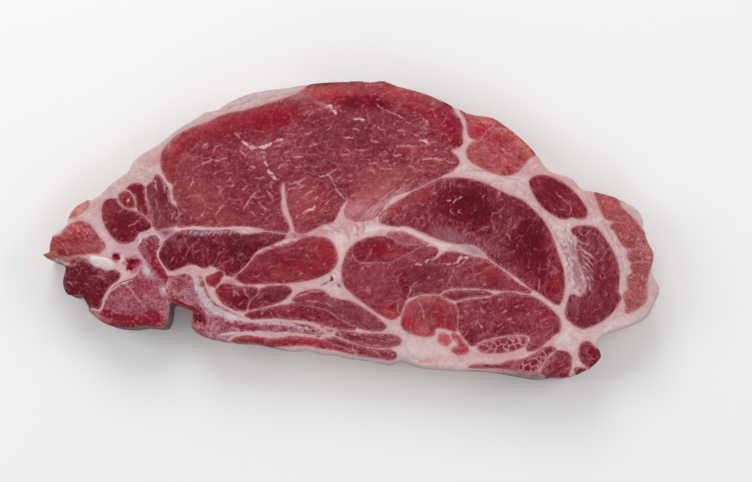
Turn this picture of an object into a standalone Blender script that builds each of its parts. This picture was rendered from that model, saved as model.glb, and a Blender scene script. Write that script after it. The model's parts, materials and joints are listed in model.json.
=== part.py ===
"""Raw pork chop: a bone-in shoulder chop sawn across its muscles, lying on its back face.

The chop is a slab. A flat map of the cut face says where each muscle, each bone and the web of fat
lies, and every piece of the map runs straight through the slab as a solid of its own.
Sizes here are in millimetres. The slab lies on Z = 0, +X is its round end, the tip is at -X, and
the origin is under the middle of its outline.
"""
import bpy
import numpy as np
from mathutils.geometry import delaunay_2d_cdt

MM = 0.001
THICKNESS = 18.0         # from the back face to the cut face, at a seam between two muscles
CROWN = 0.8              # how far the middle of a wide muscle swells above its seams
CROWN_REACH = 5.0        # distance from a seam over which a muscle rises to its crown
SWELL = 0.5              # slow unevenness of the whole cut face
SWELL_RUN = (23.0, 17.0)     # length over which the unevenness turns by one radian, along X and Y
SWELL_START = (0.6, -0.3)    # where in its turn the unevenness stands at the middle
SHOULDER = 1.3           # radius of the soft edge round the cut face
SHOULDER_RING = 1.43     # distance from the rim of the ring of points where the soft edge ends
TUCK = 0.5               # how far the wall draws in under the chop
TUCK_REACH = 5.0         # breadth of the strip near the rim that draws in
BELLY = 5.0              # height at which the wall is widest
SEAM = 0.3               # clear gap between two neighbouring pieces
CORNER_REACH = 0.6       # furthest that a corner of a piece moves to leave its gap
FLATNESS = 0.09          # largest distance between a curve and the chords that stand for it
CURVE_STEPS = 12         # parts that a curve has between two of its points before it is thinned
INNER_STEP = 6.5         # spacing of the points that carry the crown
INNER_CLEAR = 2.2        # least distance between those points and the border of their piece
RING_CLEAR = 0.7         # the same for the points of the ring along the soft edge
SCRAP = 6.0              # a loose bit of fat smaller than this area joins its neighbour
SHORTEST = 0.45          # shortest edge that a border between two pieces keeps
NEAREST_WEIGHT = 4       # how strongly the nearest stretch of rim decides which way is inwards
SHALLOW = 0.2            # a corner whose two edges turn by less than this moves as one edge

# Outline of the cut face, clockwise from the tip at the left.
RIM = [
    (-100.6, -8.0), (-98.8, -7.2), (-98.5, -4.5), (-97.6, -2.4), (-95.0, 0.2), (-93.2, 1.9), (-92.2, 5.2),
    (-90.0, 8.0), (-87.5, 9.4), (-85.0, 10.1), (-82.5, 11.6), (-80.0, 14.3), (-77.0, 16.8), (-73.5, 19.4),
    (-72.0, 22.3), (-70.5, 24.0), (-67.0, 26.2), (-62.3, 29.4), (-57.0, 33.7), (-50.0, 38.0), (-48.7, 39.1),
    (-44.5, 39.9), (-41.5, 41.9), (-37.0, 44.1), (-33.0, 45.6), (-23.0, 47.2), (-10.0, 48.6), (2.0, 49.8),
    (6.0, 49.4), (10.3, 49.8), (15.0, 48.1), (20.0, 46.8), (27.0, 44.4), (34.0, 40.5), (40.0, 38.4),
    (46.3, 37.4), (50.0, 35.0), (53.4, 32.5), (56.0, 29.8), (60.4, 24.9), (65.0, 19.7), (68.5, 18.4),
    (72.5, 17.1), (75.0, 14.1), (78.5, 12.7), (83.0, 12.0), (87.5, 10.1), (92.8, 7.4), (95.3, 4.0),
    (95.6, 0.5), (97.0, -4.0), (98.6, -7.5), (98.3, -10.7), (97.6, -12.8), (99.3, -17.0), (100.3, -19.6),
    (98.5, -23.9), (95.9, -28.6), (90.2, -31.6), (83.5, -33.6), (80.2, -36.0), (79.5, -37.5), (80.9, -41.0),
    (80.0, -42.7), (75.0, -46.2), (70.5, -47.8), (65.0, -48.0), (61.8, -48.5), (58.0, -48.1), (52.0, -47.1),
    (46.0, -46.1), (38.0, -45.7), (30.0, -45.3), (23.0, -44.7), (20.0, -43.7), (16.2, -42.4), (14.4, -43.1),
    (12.3, -43.7), (10.0, -43.2), (6.0, -42.4), (0.0, -41.6), (-6.0, -40.5), (-10.5, -40.1), (-14.5, -38.9),
    (-20.0, -39.1), (-26.0, -38.0), (-32.0, -36.8), (-38.0, -36.5), (-46.0, -35.1), (-50.0, -33.7),
    (-52.0, -31.3), (-51.7, -29.0), (-51.6, -26.6), (-55.5, -24.7), (-58.6, -23.6), (-59.1, -27.0),
    (-59.9, -30.2), (-61.3, -31.7), (-67.0, -31.5), (-72.0, -32.0), (-79.0, -31.0), (-84.3, -27.5),
    (-85.8, -24.6), (-88.2, -21.3), (-92.0, -21.2), (-93.5, -19.3), (-94.0, -16.5), (-93.3, -13.0),
    (-93.5, -11.4), (-96.5, -9.8), (-98.2, -9.7),
]

# Each piece: its name, its tissue and its outline on the cut face. Where two outlines overlap the
# piece that stands first keeps the ground, so neighbours that touch simply overlap. An outline that
# runs out past the rim is cut off there.
PIECES = [
    ("cartilage_disc", "cartilage", [
        (-85.9, -8.7), (-81.0, -8.9), (-78.4, -9.7), (-77.2, -11.2), (-78.0, -12.5), (-81.5, -12.2),
        (-84.2, -10.8)]),
    ("vertebra", "bone", [
        (-86.5, -25.9), (-83.0, -26.4), (-81.2, -26.4), (-80.2, -23.5), (-79.0, -20.5), (-77.0, -18.2),
        (-74.0, -16.6), (-70.9, -15.5), (-69.3, -13.9), (-68.7, -12.4), (-67.4, -11.2), (-67.5, -9.8),
        (-69.2, -7.0), (-70.1, -4.2), (-69.2, -1.9), (-67.3, -0.9), (-65.0, -0.5), (-63.1, -1.1),
        (-62.1, -2.8), (-62.2, -4.9), (-63.5, -7.5), (-62.4, -10.6), (-60.4, -13.6), (-59.6, -15.5),
        (-60.4, -18.2), (-59.9, -21.0), (-58.3, -22.9), (-56.5, -27.0), (-58.0, -34.0), (-72.0, -36.0),
        (-86.0, -31.0)]),
    ("rib_head", "bone", [
        (-60.2, -15.3), (-57.5, -14.9), (-54.5, -14.3), (-52.2, -15.0), (-51.3, -17.0), (-51.0, -20.0),
        (-50.3, -23.0), (-48.3, -25.6), (-47.0, -28.0), (-46.8, -31.0), (-47.6, -33.0), (-48.5, -36.0),
        (-55.0, -34.0), (-54.0, -27.0), (-58.0, -22.0), (-61.5, -19.0)]),
    ("rib", "bone", [
        (-51.8, -16.5), (-50.4, -14.9), (-48.5, -15.3), (-47.5, -18.0), (-46.3, -21.0), (-44.5, -23.6),
        (-41.5, -25.4), (-38.5, -26.8), (-35.8, -28.3), (-33.3, -29.7), (-30.0, -29.9), (-25.0, -29.8),
        (-20.0, -30.3), (-15.0, -30.8), (-11.0, -32.2), (-8.3, -33.7), (-12.0, -34.2), (-17.0, -33.7),
        (-25.0, -34.1), (-33.0, -33.7), (-37.0, -34.0), (-39.6, -35.3), (-42.0, -37.5), (-49.0, -36.0),
        (-48.5, -30.0), (-51.5, -24.0)]),
    ("dark_corner", "lean_dark", [
        (-95.0, -11.8), (-91.5, -11.6), (-88.8, -10.6), (-86.9, -9.7), (-84.5, -11.9), (-82.0, -13.2),
        (-79.5, -13.6), (-77.0, -13.4), (-75.4, -14.4), (-75.6, -15.6), (-78.0, -17.7), (-80.0, -20.2),
        (-81.2, -23.2), (-81.9, -25.5), (-84.0, -25.4), (-87.0, -26.0), (-90.0, -23.0), (-95.0, -22.0),
        (-96.0, -15.0)]),
    ("tip_muscle", "lean_orange", [
        (-103.0, -8.0), (-100.0, -3.2), (-97.2, -2.4), (-95.0, -1.6), (-93.0, 0.7), (-90.5, 2.4),
        (-88.3, 2.8), (-86.0, 1.9), (-84.3, 0.3), (-82.5, -2.4), (-80.8, -4.2), (-80.6, -5.8),
        (-82.0, -7.2), (-84.5, -7.7), (-88.5, -8.0), (-93.0, -8.8), (-96.3, -9.0), (-98.5, -10.5)]),
    ("rim_fleck", "lean_orange", [
        (-93.5, 4.2), (-91.0, 4.1), (-89.3, 5.2), (-86.9, 7.2), (-85.9, 8.7), (-86.8, 10.5), (-90.0, 10.0),
        (-93.5, 6.5)]),
    ("cluster_oval", "lean", [
        (-76.0, 11.5), (-74.7, 12.6), (-73.0, 12.4), (-71.7, 10.7), (-71.1, 8.7), (-71.4, 7.6),
        (-72.7, 7.5), (-74.6, 8.3), (-76.0, 9.8)]),
    ("cluster_upper", "lean", [
        (-73.5, 13.7), (-72.3, 14.9), (-70.5, 15.4), (-68.6, 14.9), (-67.9, 13.0), (-67.8, 11.0),
        (-67.1, 8.5), (-66.6, 6.3), (-67.0, 5.3), (-68.3, 5.6), (-69.8, 7.0), (-70.1, 9.0), (-70.9, 11.3),
        (-72.5, 13.2)]),
    ("cluster_large", "lean_dark", [
        (-81.5, 7.5), (-80.8, 9.3), (-79.0, 10.3), (-77.2, 10.0), (-76.2, 8.6), (-74.8, 7.2), (-73.0, 6.4),
        (-71.0, 6.0), (-69.3, 4.8), (-67.5, 3.7), (-66.2, 2.4), (-65.8, 1.1), (-66.8, 0.1), (-69.4, -1.0),
        (-71.0, -3.2), (-73.5, -4.3), (-76.0, -3.9), (-78.0, -2.2), (-79.4, 0.0), (-80.9, 2.3),
        (-81.4, 4.8)]),
    ("finger_muscle", "lean_dark", [
        (-57.0, 1.9), (-59.5, 1.1), (-61.5, 0.6), (-63.5, 0.4), (-64.6, 1.5), (-65.1, 4.0), (-65.4, 6.0),
        (-66.0, 8.5), (-66.8, 11.0), (-67.0, 13.3), (-66.2, 15.5), (-65.3, 15.9), (-64.5, 17.6),
        (-63.6, 18.2), (-62.6, 17.3), (-61.7, 15.8), (-60.6, 14.6), (-60.0, 13.0), (-59.7, 10.5),
        (-59.2, 8.9), (-57.9, 8.0), (-56.9, 7.2), (-56.4, 4.5)]),
    ("eye_muscle", "lean", [
        (-57.2, 1.6), (-57.6, 6.0), (-57.0, 8.6), (-58.0, 10.4), (-58.5, 12.8), (-58.3, 14.8),
        (-60.1, 16.3), (-61.2, 18.5), (-62.3, 20.5), (-62.6, 23.0), (-62.0, 26.0), (-60.5, 28.0),
        (-57.5, 31.0), (-52.0, 34.0), (-47.3, 35.5), (-44.0, 37.3), (-40.0, 38.7), (-36.0, 39.4),
        (-30.0, 41.3), (-23.0, 43.5), (-17.0, 45.6), (-15.0, 47.6), (-14.0, 51.5), (4.0, 54.0),
        (25.0, 49.0), (33.0, 43.0), (33.5, 39.8), (34.6, 38.3), (35.7, 36.5), (36.4, 34.0), (36.3, 31.0),
        (36.5, 28.9), (35.2, 27.5), (32.6, 26.4), (34.6, 23.9), (35.2, 22.4), (34.2, 20.8), (32.0, 19.1),
        (29.0, 17.8), (25.0, 15.9), (21.0, 13.9), (17.0, 12.4), (14.0, 11.4), (12.2, 10.0), (10.5, 8.0),
        (9.0, 6.2), (7.6, 4.4), (5.0, 3.3), (2.5, 3.1), (0.0, 3.5), (-1.9, 4.7), (-2.2, 6.3), (-1.3, 8.4),
        (-1.2, 10.2), (-3.2, 8.0), (-4.3, 5.8), (-5.2, 4.0), (-6.2, 2.6), (-9.0, 2.0), (-11.0, 1.0),
        (-14.0, -0.5), (-17.0, -0.9), (-18.3, -0.2), (-18.9, 1.8), (-19.8, 4.5), (-20.8, 7.5),
        (-21.3, 10.5), (-21.7, 14.0), (-22.3, 15.8), (-23.3, 14.0), (-23.1, 10.5), (-23.0, 6.3),
        (-21.6, 3.7), (-20.4, 1.0), (-20.8, -0.6), (-24.0, -0.4), (-27.0, 0.2), (-31.0, 0.9),
        (-36.0, 1.4), (-45.0, 1.2), (-51.0, 1.5)]),
    ("band_muscle", "lean_dark", [
        (-62.4, -6.8), (-61.2, -4.2), (-58.6, -1.9), (-56.3, -0.6), (-54.0, -0.3), (-50.0, -0.2),
        (-46.0, -0.5), (-40.0, -0.2), (-38.0, -0.6), (-35.0, -1.4), (-32.0, -1.2), (-28.0, -1.0),
        (-24.5, -1.3), (-21.6, -1.8), (-22.0, -2.8), (-24.0, -3.7), (-26.0, -4.7), (-28.5, -5.6),
        (-31.0, -6.8), (-32.2, -8.0), (-33.0, -9.6), (-34.3, -11.3), (-35.8, -12.9), (-37.3, -14.2),
        (-38.9, -15.2), (-40.2, -15.0), (-41.2, -14.2), (-42.5, -13.2), (-44.2, -12.2), (-46.2, -11.6),
        (-47.4, -12.4), (-49.0, -12.2), (-50.5, -11.5), (-53.0, -11.3), (-55.0, -11.9), (-57.0, -12.9),
        (-58.7, -13.2), (-60.3, -12.3), (-61.8, -10.4), (-62.7, -8.5)]),
    ("bead_muscle", "lean_bright", [
        (-47.4, -16.0), (-46.7, -15.1), (-45.0, -14.5), (-43.6, -13.6), (-42.3, -13.0), (-41.7, -14.0),
        (-42.1, -15.3), (-43.2, -17.2), (-44.5, -18.4), (-46.0, -18.1), (-47.1, -17.2)]),
    ("oval_muscle", "lean_bright", [
        (-37.7, -15.3), (-35.3, -13.4), (-33.3, -11.2), (-31.7, -9.2), (-29.8, -7.9), (-27.5, -6.8),
        (-25.0, -6.0), (-21.5, -5.2), (-18.5, -4.3), (-16.5, -3.1), (-14.0, -2.4), (-10.5, -2.3),
        (-7.6, -3.1), (-5.6, -5.4), (-4.6, -8.5), (-5.0, -11.3), (-6.7, -13.3), (-9.0, -14.8),
        (-12.0, -15.9), (-16.0, -16.7), (-21.0, -17.2), (-31.0, -17.5), (-34.5, -17.4), (-36.6, -16.7)]),
    ("core_front", "lean_dark", [
        (-44.0, -19.9), (-43.2, -18.7), (-41.8, -17.8), (-39.5, -17.8), (-37.0, -18.6), (-33.0, -19.0),
        (-30.8, -19.2), (-29.9, -20.0), (-31.0, -21.4), (-33.0, -23.4), (-33.7, -25.4), (-34.5, -26.3),
        (-36.0, -26.4), (-38.0, -25.6), (-41.2, -24.3), (-42.6, -22.8), (-43.6, -21.3)]),
    ("core_back", "lean_dark", [
        (-31.0, -20.2), (-28.0, -18.9), (-26.0, -18.4), (-23.5, -18.3), (-21.5, -18.5), (-19.9, -19.1),
        (-19.5, -20.1), (-20.2, -21.3), (-21.8, -22.7), (-23.5, -23.5), (-26.0, -24.2), (-29.0, -25.1),
        (-32.0, -25.7), (-33.5, -25.9), (-35.0, -24.0)]),
    ("tongue_muscle", "lean_dark", [
        (-19.0, -22.9), (-17.8, -21.4), (-15.5, -20.2), (-12.0, -19.6), (-9.5, -19.9), (-8.0, -21.0),
        (-6.8, -22.0), (-4.0, -22.8), (-0.5, -23.4), (2.5, -24.8), (5.0, -26.5), (7.5, -28.2),
        (9.5, -29.8), (11.3, -31.5), (10.6, -32.4), (8.5, -32.8), (5.5, -32.6), (3.0, -32.1), (0.0, -31.0),
        (-3.5, -29.3), (-6.0, -27.6), (-8.0, -26.3), (-11.0, -25.5), (-15.0, -24.7), (-17.5, -24.1)]),
    ("long_muscle", "lean_dark", [
        (-34.2, -27.9), (-33.0, -27.1), (-30.0, -26.5), (-27.0, -25.8), (-23.5, -25.0), (-20.0, -24.4),
        (-16.5, -23.9), (-8.0, -25.0), (0.0, -29.5), (1.8, -31.8), (0.0, -32.4), (-4.0, -32.1),
        (-8.0, -31.3), (-12.0, -30.0), (-16.0, -29.2), (-20.0, -29.0), (-24.0, -28.6), (-28.0, -28.7),
        (-32.0, -28.9)]),
    ("rib_strip_upper", "lean_dark", [
        (-5.0, -33.9), (-3.5, -33.3), (-1.0, -33.5), (2.0, -33.8), (5.0, -34.1), (9.0, -34.2),
        (12.5, -34.2), (15.0, -34.9), (16.1, -36.1), (15.5, -37.3), (13.0, -38.0), (10.0, -38.2),
        (7.0, -37.9), (4.0, -37.3), (1.0, -36.4), (-2.0, -35.3), (-4.2, -34.6)]),
    ("rib_strip_lower", "lean_dark", [
        (-8.4, -36.0), (-6.5, -35.4), (-4.5, -35.6), (-2.0, -36.5), (1.0, -37.7), (4.0, -38.6),
        (8.0, -39.3), (12.0, -39.3), (14.2, -39.9), (14.7, -41.1), (13.7, -42.1), (12.0, -42.4),
        (9.0, -41.7), (5.0, -41.2), (2.5, -40.7), (0.8, -39.9), (-1.0, -38.9), (-4.0, -37.7),
        (-6.5, -36.9)]),
    ("flank_strip", "lean_bright", [
        (-40.0, -37.6), (-38.3, -36.0), (-37.0, -35.3), (-34.0, -34.9), (-31.0, -35.2), (-28.5, -35.4),
        (-25.5, -35.7), (-22.5, -35.4), (-20.0, -35.1), (-17.0, -35.2), (-14.0, -35.5), (-9.0, -36.0),
        (-3.0, -37.4), (1.0, -39.0), (2.0, -40.0), (0.0, -40.3), (-3.0, -39.5), (-6.0, -38.9),
        (-10.0, -38.5), (-14.0, -37.6), (-18.0, -37.8), (-22.0, -37.9), (-25.5, -38.2), (-29.0, -39.0),
        (-40.0, -39.0)]),
    ("cap_muscle", "lean_orange", [
        (33.9, 42.5), (36.4, 38.6), (37.7, 36.3), (38.1, 34.0), (38.3, 32.0), (38.9, 30.8), (40.3, 30.1),
        (41.2, 29.6), (40.3, 29.1), (39.4, 28.8), (38.5, 27.5), (37.8, 26.2), (37.8, 24.9), (38.6, 23.2),
        (40.5, 21.9), (43.5, 20.2), (46.0, 19.1), (48.5, 18.4), (50.5, 18.1), (52.5, 18.4), (54.5, 19.4),
        (56.0, 21.0), (57.3, 22.8), (58.6, 24.1), (61.5, 25.5), (58.0, 31.0), (52.0, 37.0), (47.0, 40.0),
        (40.0, 41.5)]),
    ("egg_muscle", "lean_dark", [
        (58.3, 15.8), (58.9, 17.0), (60.5, 17.9), (63.0, 18.1), (65.5, 17.5), (68.0, 16.2), (70.5, 14.6),
        (73.0, 12.3), (75.0, 9.9), (76.5, 7.6), (77.0, 5.5), (76.4, 4.2), (74.5, 3.8), (72.0, 4.3),
        (70.0, 3.7), (67.5, 4.2), (64.5, 6.0), (62.0, 8.2), (60.2, 10.8), (58.9, 13.4)]),
    ("round_muscle", "lean_dark", [
        (9.1, 3.2), (9.7, 4.7), (11.1, 6.3), (13.5, 8.2), (16.5, 10.1), (19.0, 11.5), (21.5, 12.9),
        (24.5, 14.4), (27.5, 15.8), (30.0, 16.7), (33.0, 17.1), (37.0, 17.0), (41.0, 16.2), (44.5, 14.9),
        (48.0, 13.2), (51.0, 11.7), (54.0, 10.6), (56.5, 9.3), (59.0, 7.0), (61.5, 4.5), (63.8, 1.2),
        (65.4, -2.3), (66.8, -6.0), (68.0, -10.0), (69.0, -13.8), (69.3, -17.0), (69.1, -20.0),
        (68.4, -22.9), (67.3, -24.3), (66.2, -24.2), (64.5, -23.1), (62.0, -21.2), (59.0, -19.3),
        (56.0, -17.1), (53.0, -14.7), (50.0, -12.5), (47.0, -10.5), (44.6, -8.7), (43.4, -7.2),
        (41.0, -5.4), (38.0, -4.6), (34.5, -4.4), (31.5, -3.9), (28.5, -3.0), (25.5, -1.7), (22.5, -0.4),
        (19.5, 0.8), (17.0, 1.4), (14.8, 1.2), (13.0, 1.5), (11.0, 1.9)]),
    ("crescent_muscle", "lean_dark", [
        (71.9, 0.2), (72.9, 1.0), (74.7, 1.2), (77.0, 1.4), (79.2, 1.0), (80.9, -0.2), (82.4, -2.2),
        (84.0, -4.8), (85.5, -7.6), (86.6, -10.6), (87.1, -13.8), (87.1, -17.0), (86.8, -20.0),
        (87.3, -22.3), (87.0, -23.5), (85.9, -25.4), (84.2, -27.3), (82.2, -29.2), (79.5, -30.7),
        (77.0, -31.8), (74.5, -32.0), (72.5, -31.2), (71.0, -29.9), (69.9, -28.6), (69.5, -26.8),
        (69.9, -25.0), (70.5, -23.0), (71.2, -21.4), (72.5, -21.2), (73.8, -22.0), (75.0, -21.5),
        (76.2, -20.0), (76.6, -17.5), (76.0, -15.0), (75.2, -12.5), (74.3, -10.0), (73.7, -7.5),
        (73.6, -5.3), (74.0, -3.6), (73.6, -2.2), (72.8, -1.5), (72.1, -0.8)]),
    ("margin_muscle", "lean_orange", [
        (78.7, 14.5), (80.2, 10.5), (81.0, 8.0), (82.0, 6.0), (82.7, 4.4), (84.2, 3.5), (85.6, 3.1),
        (86.2, 2.4), (85.0, 1.7), (84.8, 0.8), (86.0, -0.6), (87.3, -2.7), (88.4, -4.7), (89.8, -5.8),
        (91.0, -6.5), (90.4, -7.4), (90.1, -8.7), (90.5, -9.9), (91.4, -10.7), (91.0, -11.8),
        (91.4, -13.2), (91.1, -14.5), (90.1, -15.4), (89.9, -17.3), (90.2, -18.8), (90.1, -19.8),
        (88.9, -20.7), (88.8, -22.8), (89.2, -25.0), (89.3, -27.0), (91.0, -26.4), (93.3, -25.3),
        (95.2, -23.7), (96.0, -21.8), (96.1, -19.5), (96.0, -17.3), (96.5, -15.0), (97.0, -13.4),
        (99.0, -11.8), (101.0, -9.0), (100.0, -4.0), (97.5, -0.8), (95.4, -0.6), (93.8, 1.6), (91.8, 4.1),
        (89.8, 6.1), (88.0, 8.1), (87.3, 10.8), (84.0, 14.5)]),
    ("dark_oval", "lean_dark", [
        (0.6, -5.3), (2.3, -3.9), (4.5, -3.0), (7.0, -2.3), (10.0, -2.2), (13.0, -2.8), (15.0, -3.8),
        (17.5, -4.9), (20.0, -5.0), (22.3, -5.2), (20.5, -6.8), (18.5, -7.8), (16.5, -8.7), (15.0, -9.6),
        (12.5, -10.5), (9.0, -10.7), (5.5, -10.7), (3.5, -10.9), (1.8, -10.2), (0.7, -8.7), (0.2, -6.8)]),
    ("small_wedge", "lean", [
        (12.2, -1.1), (14.5, -0.9), (17.0, -0.9), (19.0, -1.7), (21.0, -2.6), (23.0, -3.7), (24.8, -4.9),
        (22.5, -5.6), (17.0, -5.6), (14.0, -4.2), (12.0, -2.6)]),
    ("shoulder_block", "lean_dark", [
        (1.0, -5.0), (3.0, -7.0), (6.0, -9.5), (12.0, -10.0), (18.0, -6.9), (22.0, -5.4), (25.0, -5.5),
        (27.2, -5.9), (28.2, -6.8), (27.6, -8.2), (26.0, -9.7), (25.0, -10.5), (27.0, -9.9),
        (29.0, -8.7), (30.2, -7.8), (32.0, -7.4), (34.5, -7.5), (37.0, -8.2), (40.0, -9.0), (43.0, -9.6),
        (46.0, -11.3), (50.0, -14.2), (54.0, -17.4), (56.8, -19.3), (58.2, -20.4), (56.0, -20.2),
        (53.0, -19.7), (50.0, -19.5), (47.0, -19.6), (43.0, -19.0), (38.0, -18.9), (33.0, -19.0),
        (30.5, -19.5), (29.1, -20.6), (26.5, -20.8), (23.0, -20.8), (21.0, -21.4), (19.4, -21.8),
        (18.2, -22.3), (17.2, -23.7), (16.6, -25.4), (15.9, -27.1), (15.1, -28.1), (14.2, -28.9),
        (13.0, -29.2), (11.5, -28.8), (9.0, -27.2), (5.5, -24.8), (2.0, -22.2), (-0.7, -19.9),
        (-2.2, -18.2), (-2.8, -16.0), (-3.0, -13.5), (-2.7, -11.0), (-1.9, -8.7), (-0.7, -6.5)]),
    ("thin_wedge", "lean_dark", [
        (29.5, -21.2), (31.0, -20.5), (33.5, -20.1), (37.0, -20.0), (41.0, -20.1), (44.0, -20.5),
        (45.6, -21.1), (44.0, -21.5), (40.0, -21.8), (37.0, -22.2), (34.5, -22.9), (32.5, -22.6),
        (30.8, -22.0)]),
    ("heart_left", "lean", [
        (19.3, -23.5), (21.0, -22.9), (22.8, -22.1), (25.0, -21.8), (28.0, -21.9), (29.5, -22.6),
        (31.5, -23.6), (33.2, -24.3), (34.4, -25.2), (34.5, -28.0), (34.6, -31.0), (34.3, -32.5),
        (33.2, -32.9), (31.0, -32.3), (28.5, -31.9), (27.2, -32.4), (27.0, -33.8), (25.8, -34.5),
        (23.5, -34.6), (21.0, -34.2), (18.7, -33.4), (17.0, -32.3), (16.2, -30.8), (16.5, -28.8),
        (17.2, -26.6), (18.1, -24.8)]),
    ("heart_right", "lean_dark", [
        (34.0, -24.6), (36.5, -23.3), (39.5, -22.8), (42.5, -22.5), (45.0, -22.2), (47.0, -21.4),
        (50.0, -20.9), (53.0, -20.9), (55.5, -21.5), (58.5, -21.9), (61.0, -23.0), (63.5, -24.8),
        (65.5, -26.6), (67.2, -28.7), (67.8, -31.0), (67.5, -33.0), (65.9, -34.2), (64.5, -35.5),
        (62.5, -37.0), (60.5, -38.3), (58.5, -39.3), (57.0, -39.3), (57.0, -38.3), (57.9, -36.9),
        (58.1, -35.0), (56.5, -34.1), (53.0, -34.1), (50.0, -34.3), (47.0, -34.8), (44.0, -35.5),
        (41.8, -36.2), (40.3, -37.3), (39.0, -37.7), (37.7, -36.7), (36.4, -34.8), (35.2, -33.1),
        (33.8, -31.0), (33.7, -27.0)]),
    ("bead_lower", "lean_bright", [
        (28.2, -35.5), (28.7, -34.2), (30.0, -33.8), (31.3, -34.4), (32.0, -35.6), (31.9, -36.8),
        (30.7, -37.6), (29.3, -37.2), (28.5, -36.5)]),
    ("hook_muscle", "lean_bright", [
        (32.8, -34.1), (34.0, -34.2), (35.2, -35.2), (36.3, -36.7), (37.3, -38.1), (37.9, -39.3),
        (37.2, -40.2), (35.5, -40.5), (33.6, -40.2), (32.8, -39.3), (33.6, -38.4), (34.9, -37.8),
        (34.2, -36.2), (33.0, -35.1)]),
    ("knot_muscle", "lean_marbled", [
        (41.0, -38.6), (41.7, -37.5), (43.3, -36.9), (46.0, -36.0), (49.0, -35.3), (52.0, -35.0),
        (54.5, -35.0), (56.5, -35.1), (56.8, -36.0), (56.0, -37.5), (54.5, -38.7), (52.0, -39.5),
        (49.0, -40.0), (45.5, -40.0), (42.5, -39.8)]),
    ("hem_strip", "lean_dark", [
        (38.3, -44.6), (40.0, -44.1), (42.5, -43.8), (47.0, -43.9), (49.0, -43.5), (51.0, -42.8),
        (53.5, -42.6), (56.0, -42.0), (58.5, -41.0), (60.8, -39.8), (63.0, -38.5), (65.0, -38.1),
        (66.0, -38.7), (65.0, -39.7), (63.6, -40.9), (62.1, -42.7), (60.6, -44.6), (58.9, -46.0),
        (57.0, -46.4), (54.0, -45.9), (49.0, -45.3), (46.0, -44.9), (40.0, -44.9)]),
    ("corner_muscle", "lean_dark", [
        (61.4, -46.8), (62.1, -45.0), (63.3, -43.1), (64.7, -41.4), (66.3, -40.0), (68.0, -39.4),
        (69.7, -39.9), (70.9, -41.2), (71.1, -43.2), (70.6, -45.5), (70.2, -47.3), (70.3, -50.0),
        (66.0, -50.5), (63.4, -50.0), (62.5, -47.5)]),
    ("nub_muscle", "lean_dark", [
        (73.7, -41.0), (73.9, -38.9), (74.8, -37.1), (76.0, -36.5), (77.4, -36.9), (78.3, -37.8),
        (79.2, -38.6), (82.0, -39.0), (83.0, -42.0), (79.5, -46.0), (77.5, -44.9), (76.0, -44.2),
        (74.8, -43.2), (74.1, -42.2)]),
    ("nub_fleck", "lean_dark", [
        (72.2, -45.4), (73.6, -45.0), (75.0, -45.2), (76.6, -45.8), (76.5, -48.0), (73.0, -49.5),
        (72.6, -46.8)]),
]

# Colour, roughness and metallic value of each tissue.
TISSUES = {
    "fat": ((0.72, 0.56, 0.54), 0.45, 0.0),
    "bone": ((0.42, 0.13, 0.14), 0.5, 0.0),
    "cartilage": ((0.82, 0.79, 0.79), 0.3, 0.0),
    "lean": ((0.26, 0.045, 0.05), 0.4, 0.0),
    "lean_dark": ((0.17, 0.02, 0.028), 0.38, 0.0),
    "lean_bright": ((0.32, 0.03, 0.04), 0.38, 0.0),
    "lean_orange": ((0.42, 0.11, 0.085), 0.45, 0.0),
    "lean_marbled": ((0.4, 0.13, 0.13), 0.42, 0.0),
}
FAT = "fat"
OUTSIDE = ""


def smooth_loop(points):
    """Closed centripetal Catmull-Rom curve through the points, thinned to the fewest chords."""
    points = np.array(points, float)
    before = np.roll(points, 1, axis=0)
    after = np.roll(points, -1, axis=0)
    beyond = np.roll(points, -2, axis=0)
    knots = [np.zeros(len(points))]
    for start, end in ((before, points), (points, after), (after, beyond)):
        knots.append(knots[-1] + np.linalg.norm(end - start, axis=1) ** 0.5)
    t0, t1, t2, t3 = (k[:, None] for k in knots)
    curve = []
    for share in np.arange(CURVE_STEPS) / CURVE_STEPS:
        t = t1 + (t2 - t1) * share
        a = (before * (t1 - t) + points * (t - t0)) / (t1 - t0)
        b = (points * (t2 - t) + after * (t - t1)) / (t2 - t1)
        c = (after * (t3 - t) + beyond * (t - t2)) / (t3 - t2)
        d = (a * (t2 - t) + b * (t - t0)) / (t2 - t0)
        e = (b * (t3 - t) + c * (t - t1)) / (t3 - t1)
        curve.append((d * (t2 - t) + e * (t - t1)) / (t2 - t1))
    curve = np.stack(curve, axis=1).reshape(-1, 2)
    half = len(curve) // 2
    out = thin_chain(curve[:half + 1])
    back = thin_chain(np.vstack([curve[half:], curve[:1]]))
    return np.vstack([out[:-1], back[:-1]])


def thin_chain(chain):
    """Drop the points of a chain that lie within FLATNESS of the chords kept."""
    keep = {0, len(chain) - 1}
    stack = [(0, len(chain) - 1)]
    while stack:
        first, last = stack.pop()
        if last - first < 2:
            continue
        chord = chain[last] - chain[first]
        across = np.array([-chord[1], chord[0]]) / max(np.linalg.norm(chord), 1e-9)
        off = np.abs((chain[first + 1:last] - chain[first]) @ across)
        if off.max() > FLATNESS:
            middle = first + 1 + int(off.argmax())
            keep.add(middle)
            stack += [(first, middle), (middle, last)]
    return chain[sorted(keep)]


def inside(points, loops):
    """Which points lie inside the loops, counting crossings so that inner loops are holes."""
    odd = np.zeros(len(points), bool)
    x, y = points[:, 0], points[:, 1]
    for loop in loops:
        for (ax, ay), (bx, by) in zip(loop, np.roll(loop, -1, axis=0)):
            if ay != by:
                spans = (ay > y) != (by > y)
                odd ^= spans & (x < ax + (y - ay) * (bx - ax) / (by - ay))
    return odd


def distance_to(points, loops):
    """Distance from each point to the nearest stretch of the loops."""
    best = np.full(len(points), np.inf)
    for loop in loops:
        for a, b in zip(loop, np.roll(loop, -1, axis=0)):
            run = b - a
            share = np.clip((points - a) @ run / max(run @ run, 1e-12), 0.0, 1.0)
            best = np.minimum(best, np.linalg.norm(points - a - share[:, None] * run, axis=1))
    return best


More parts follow.
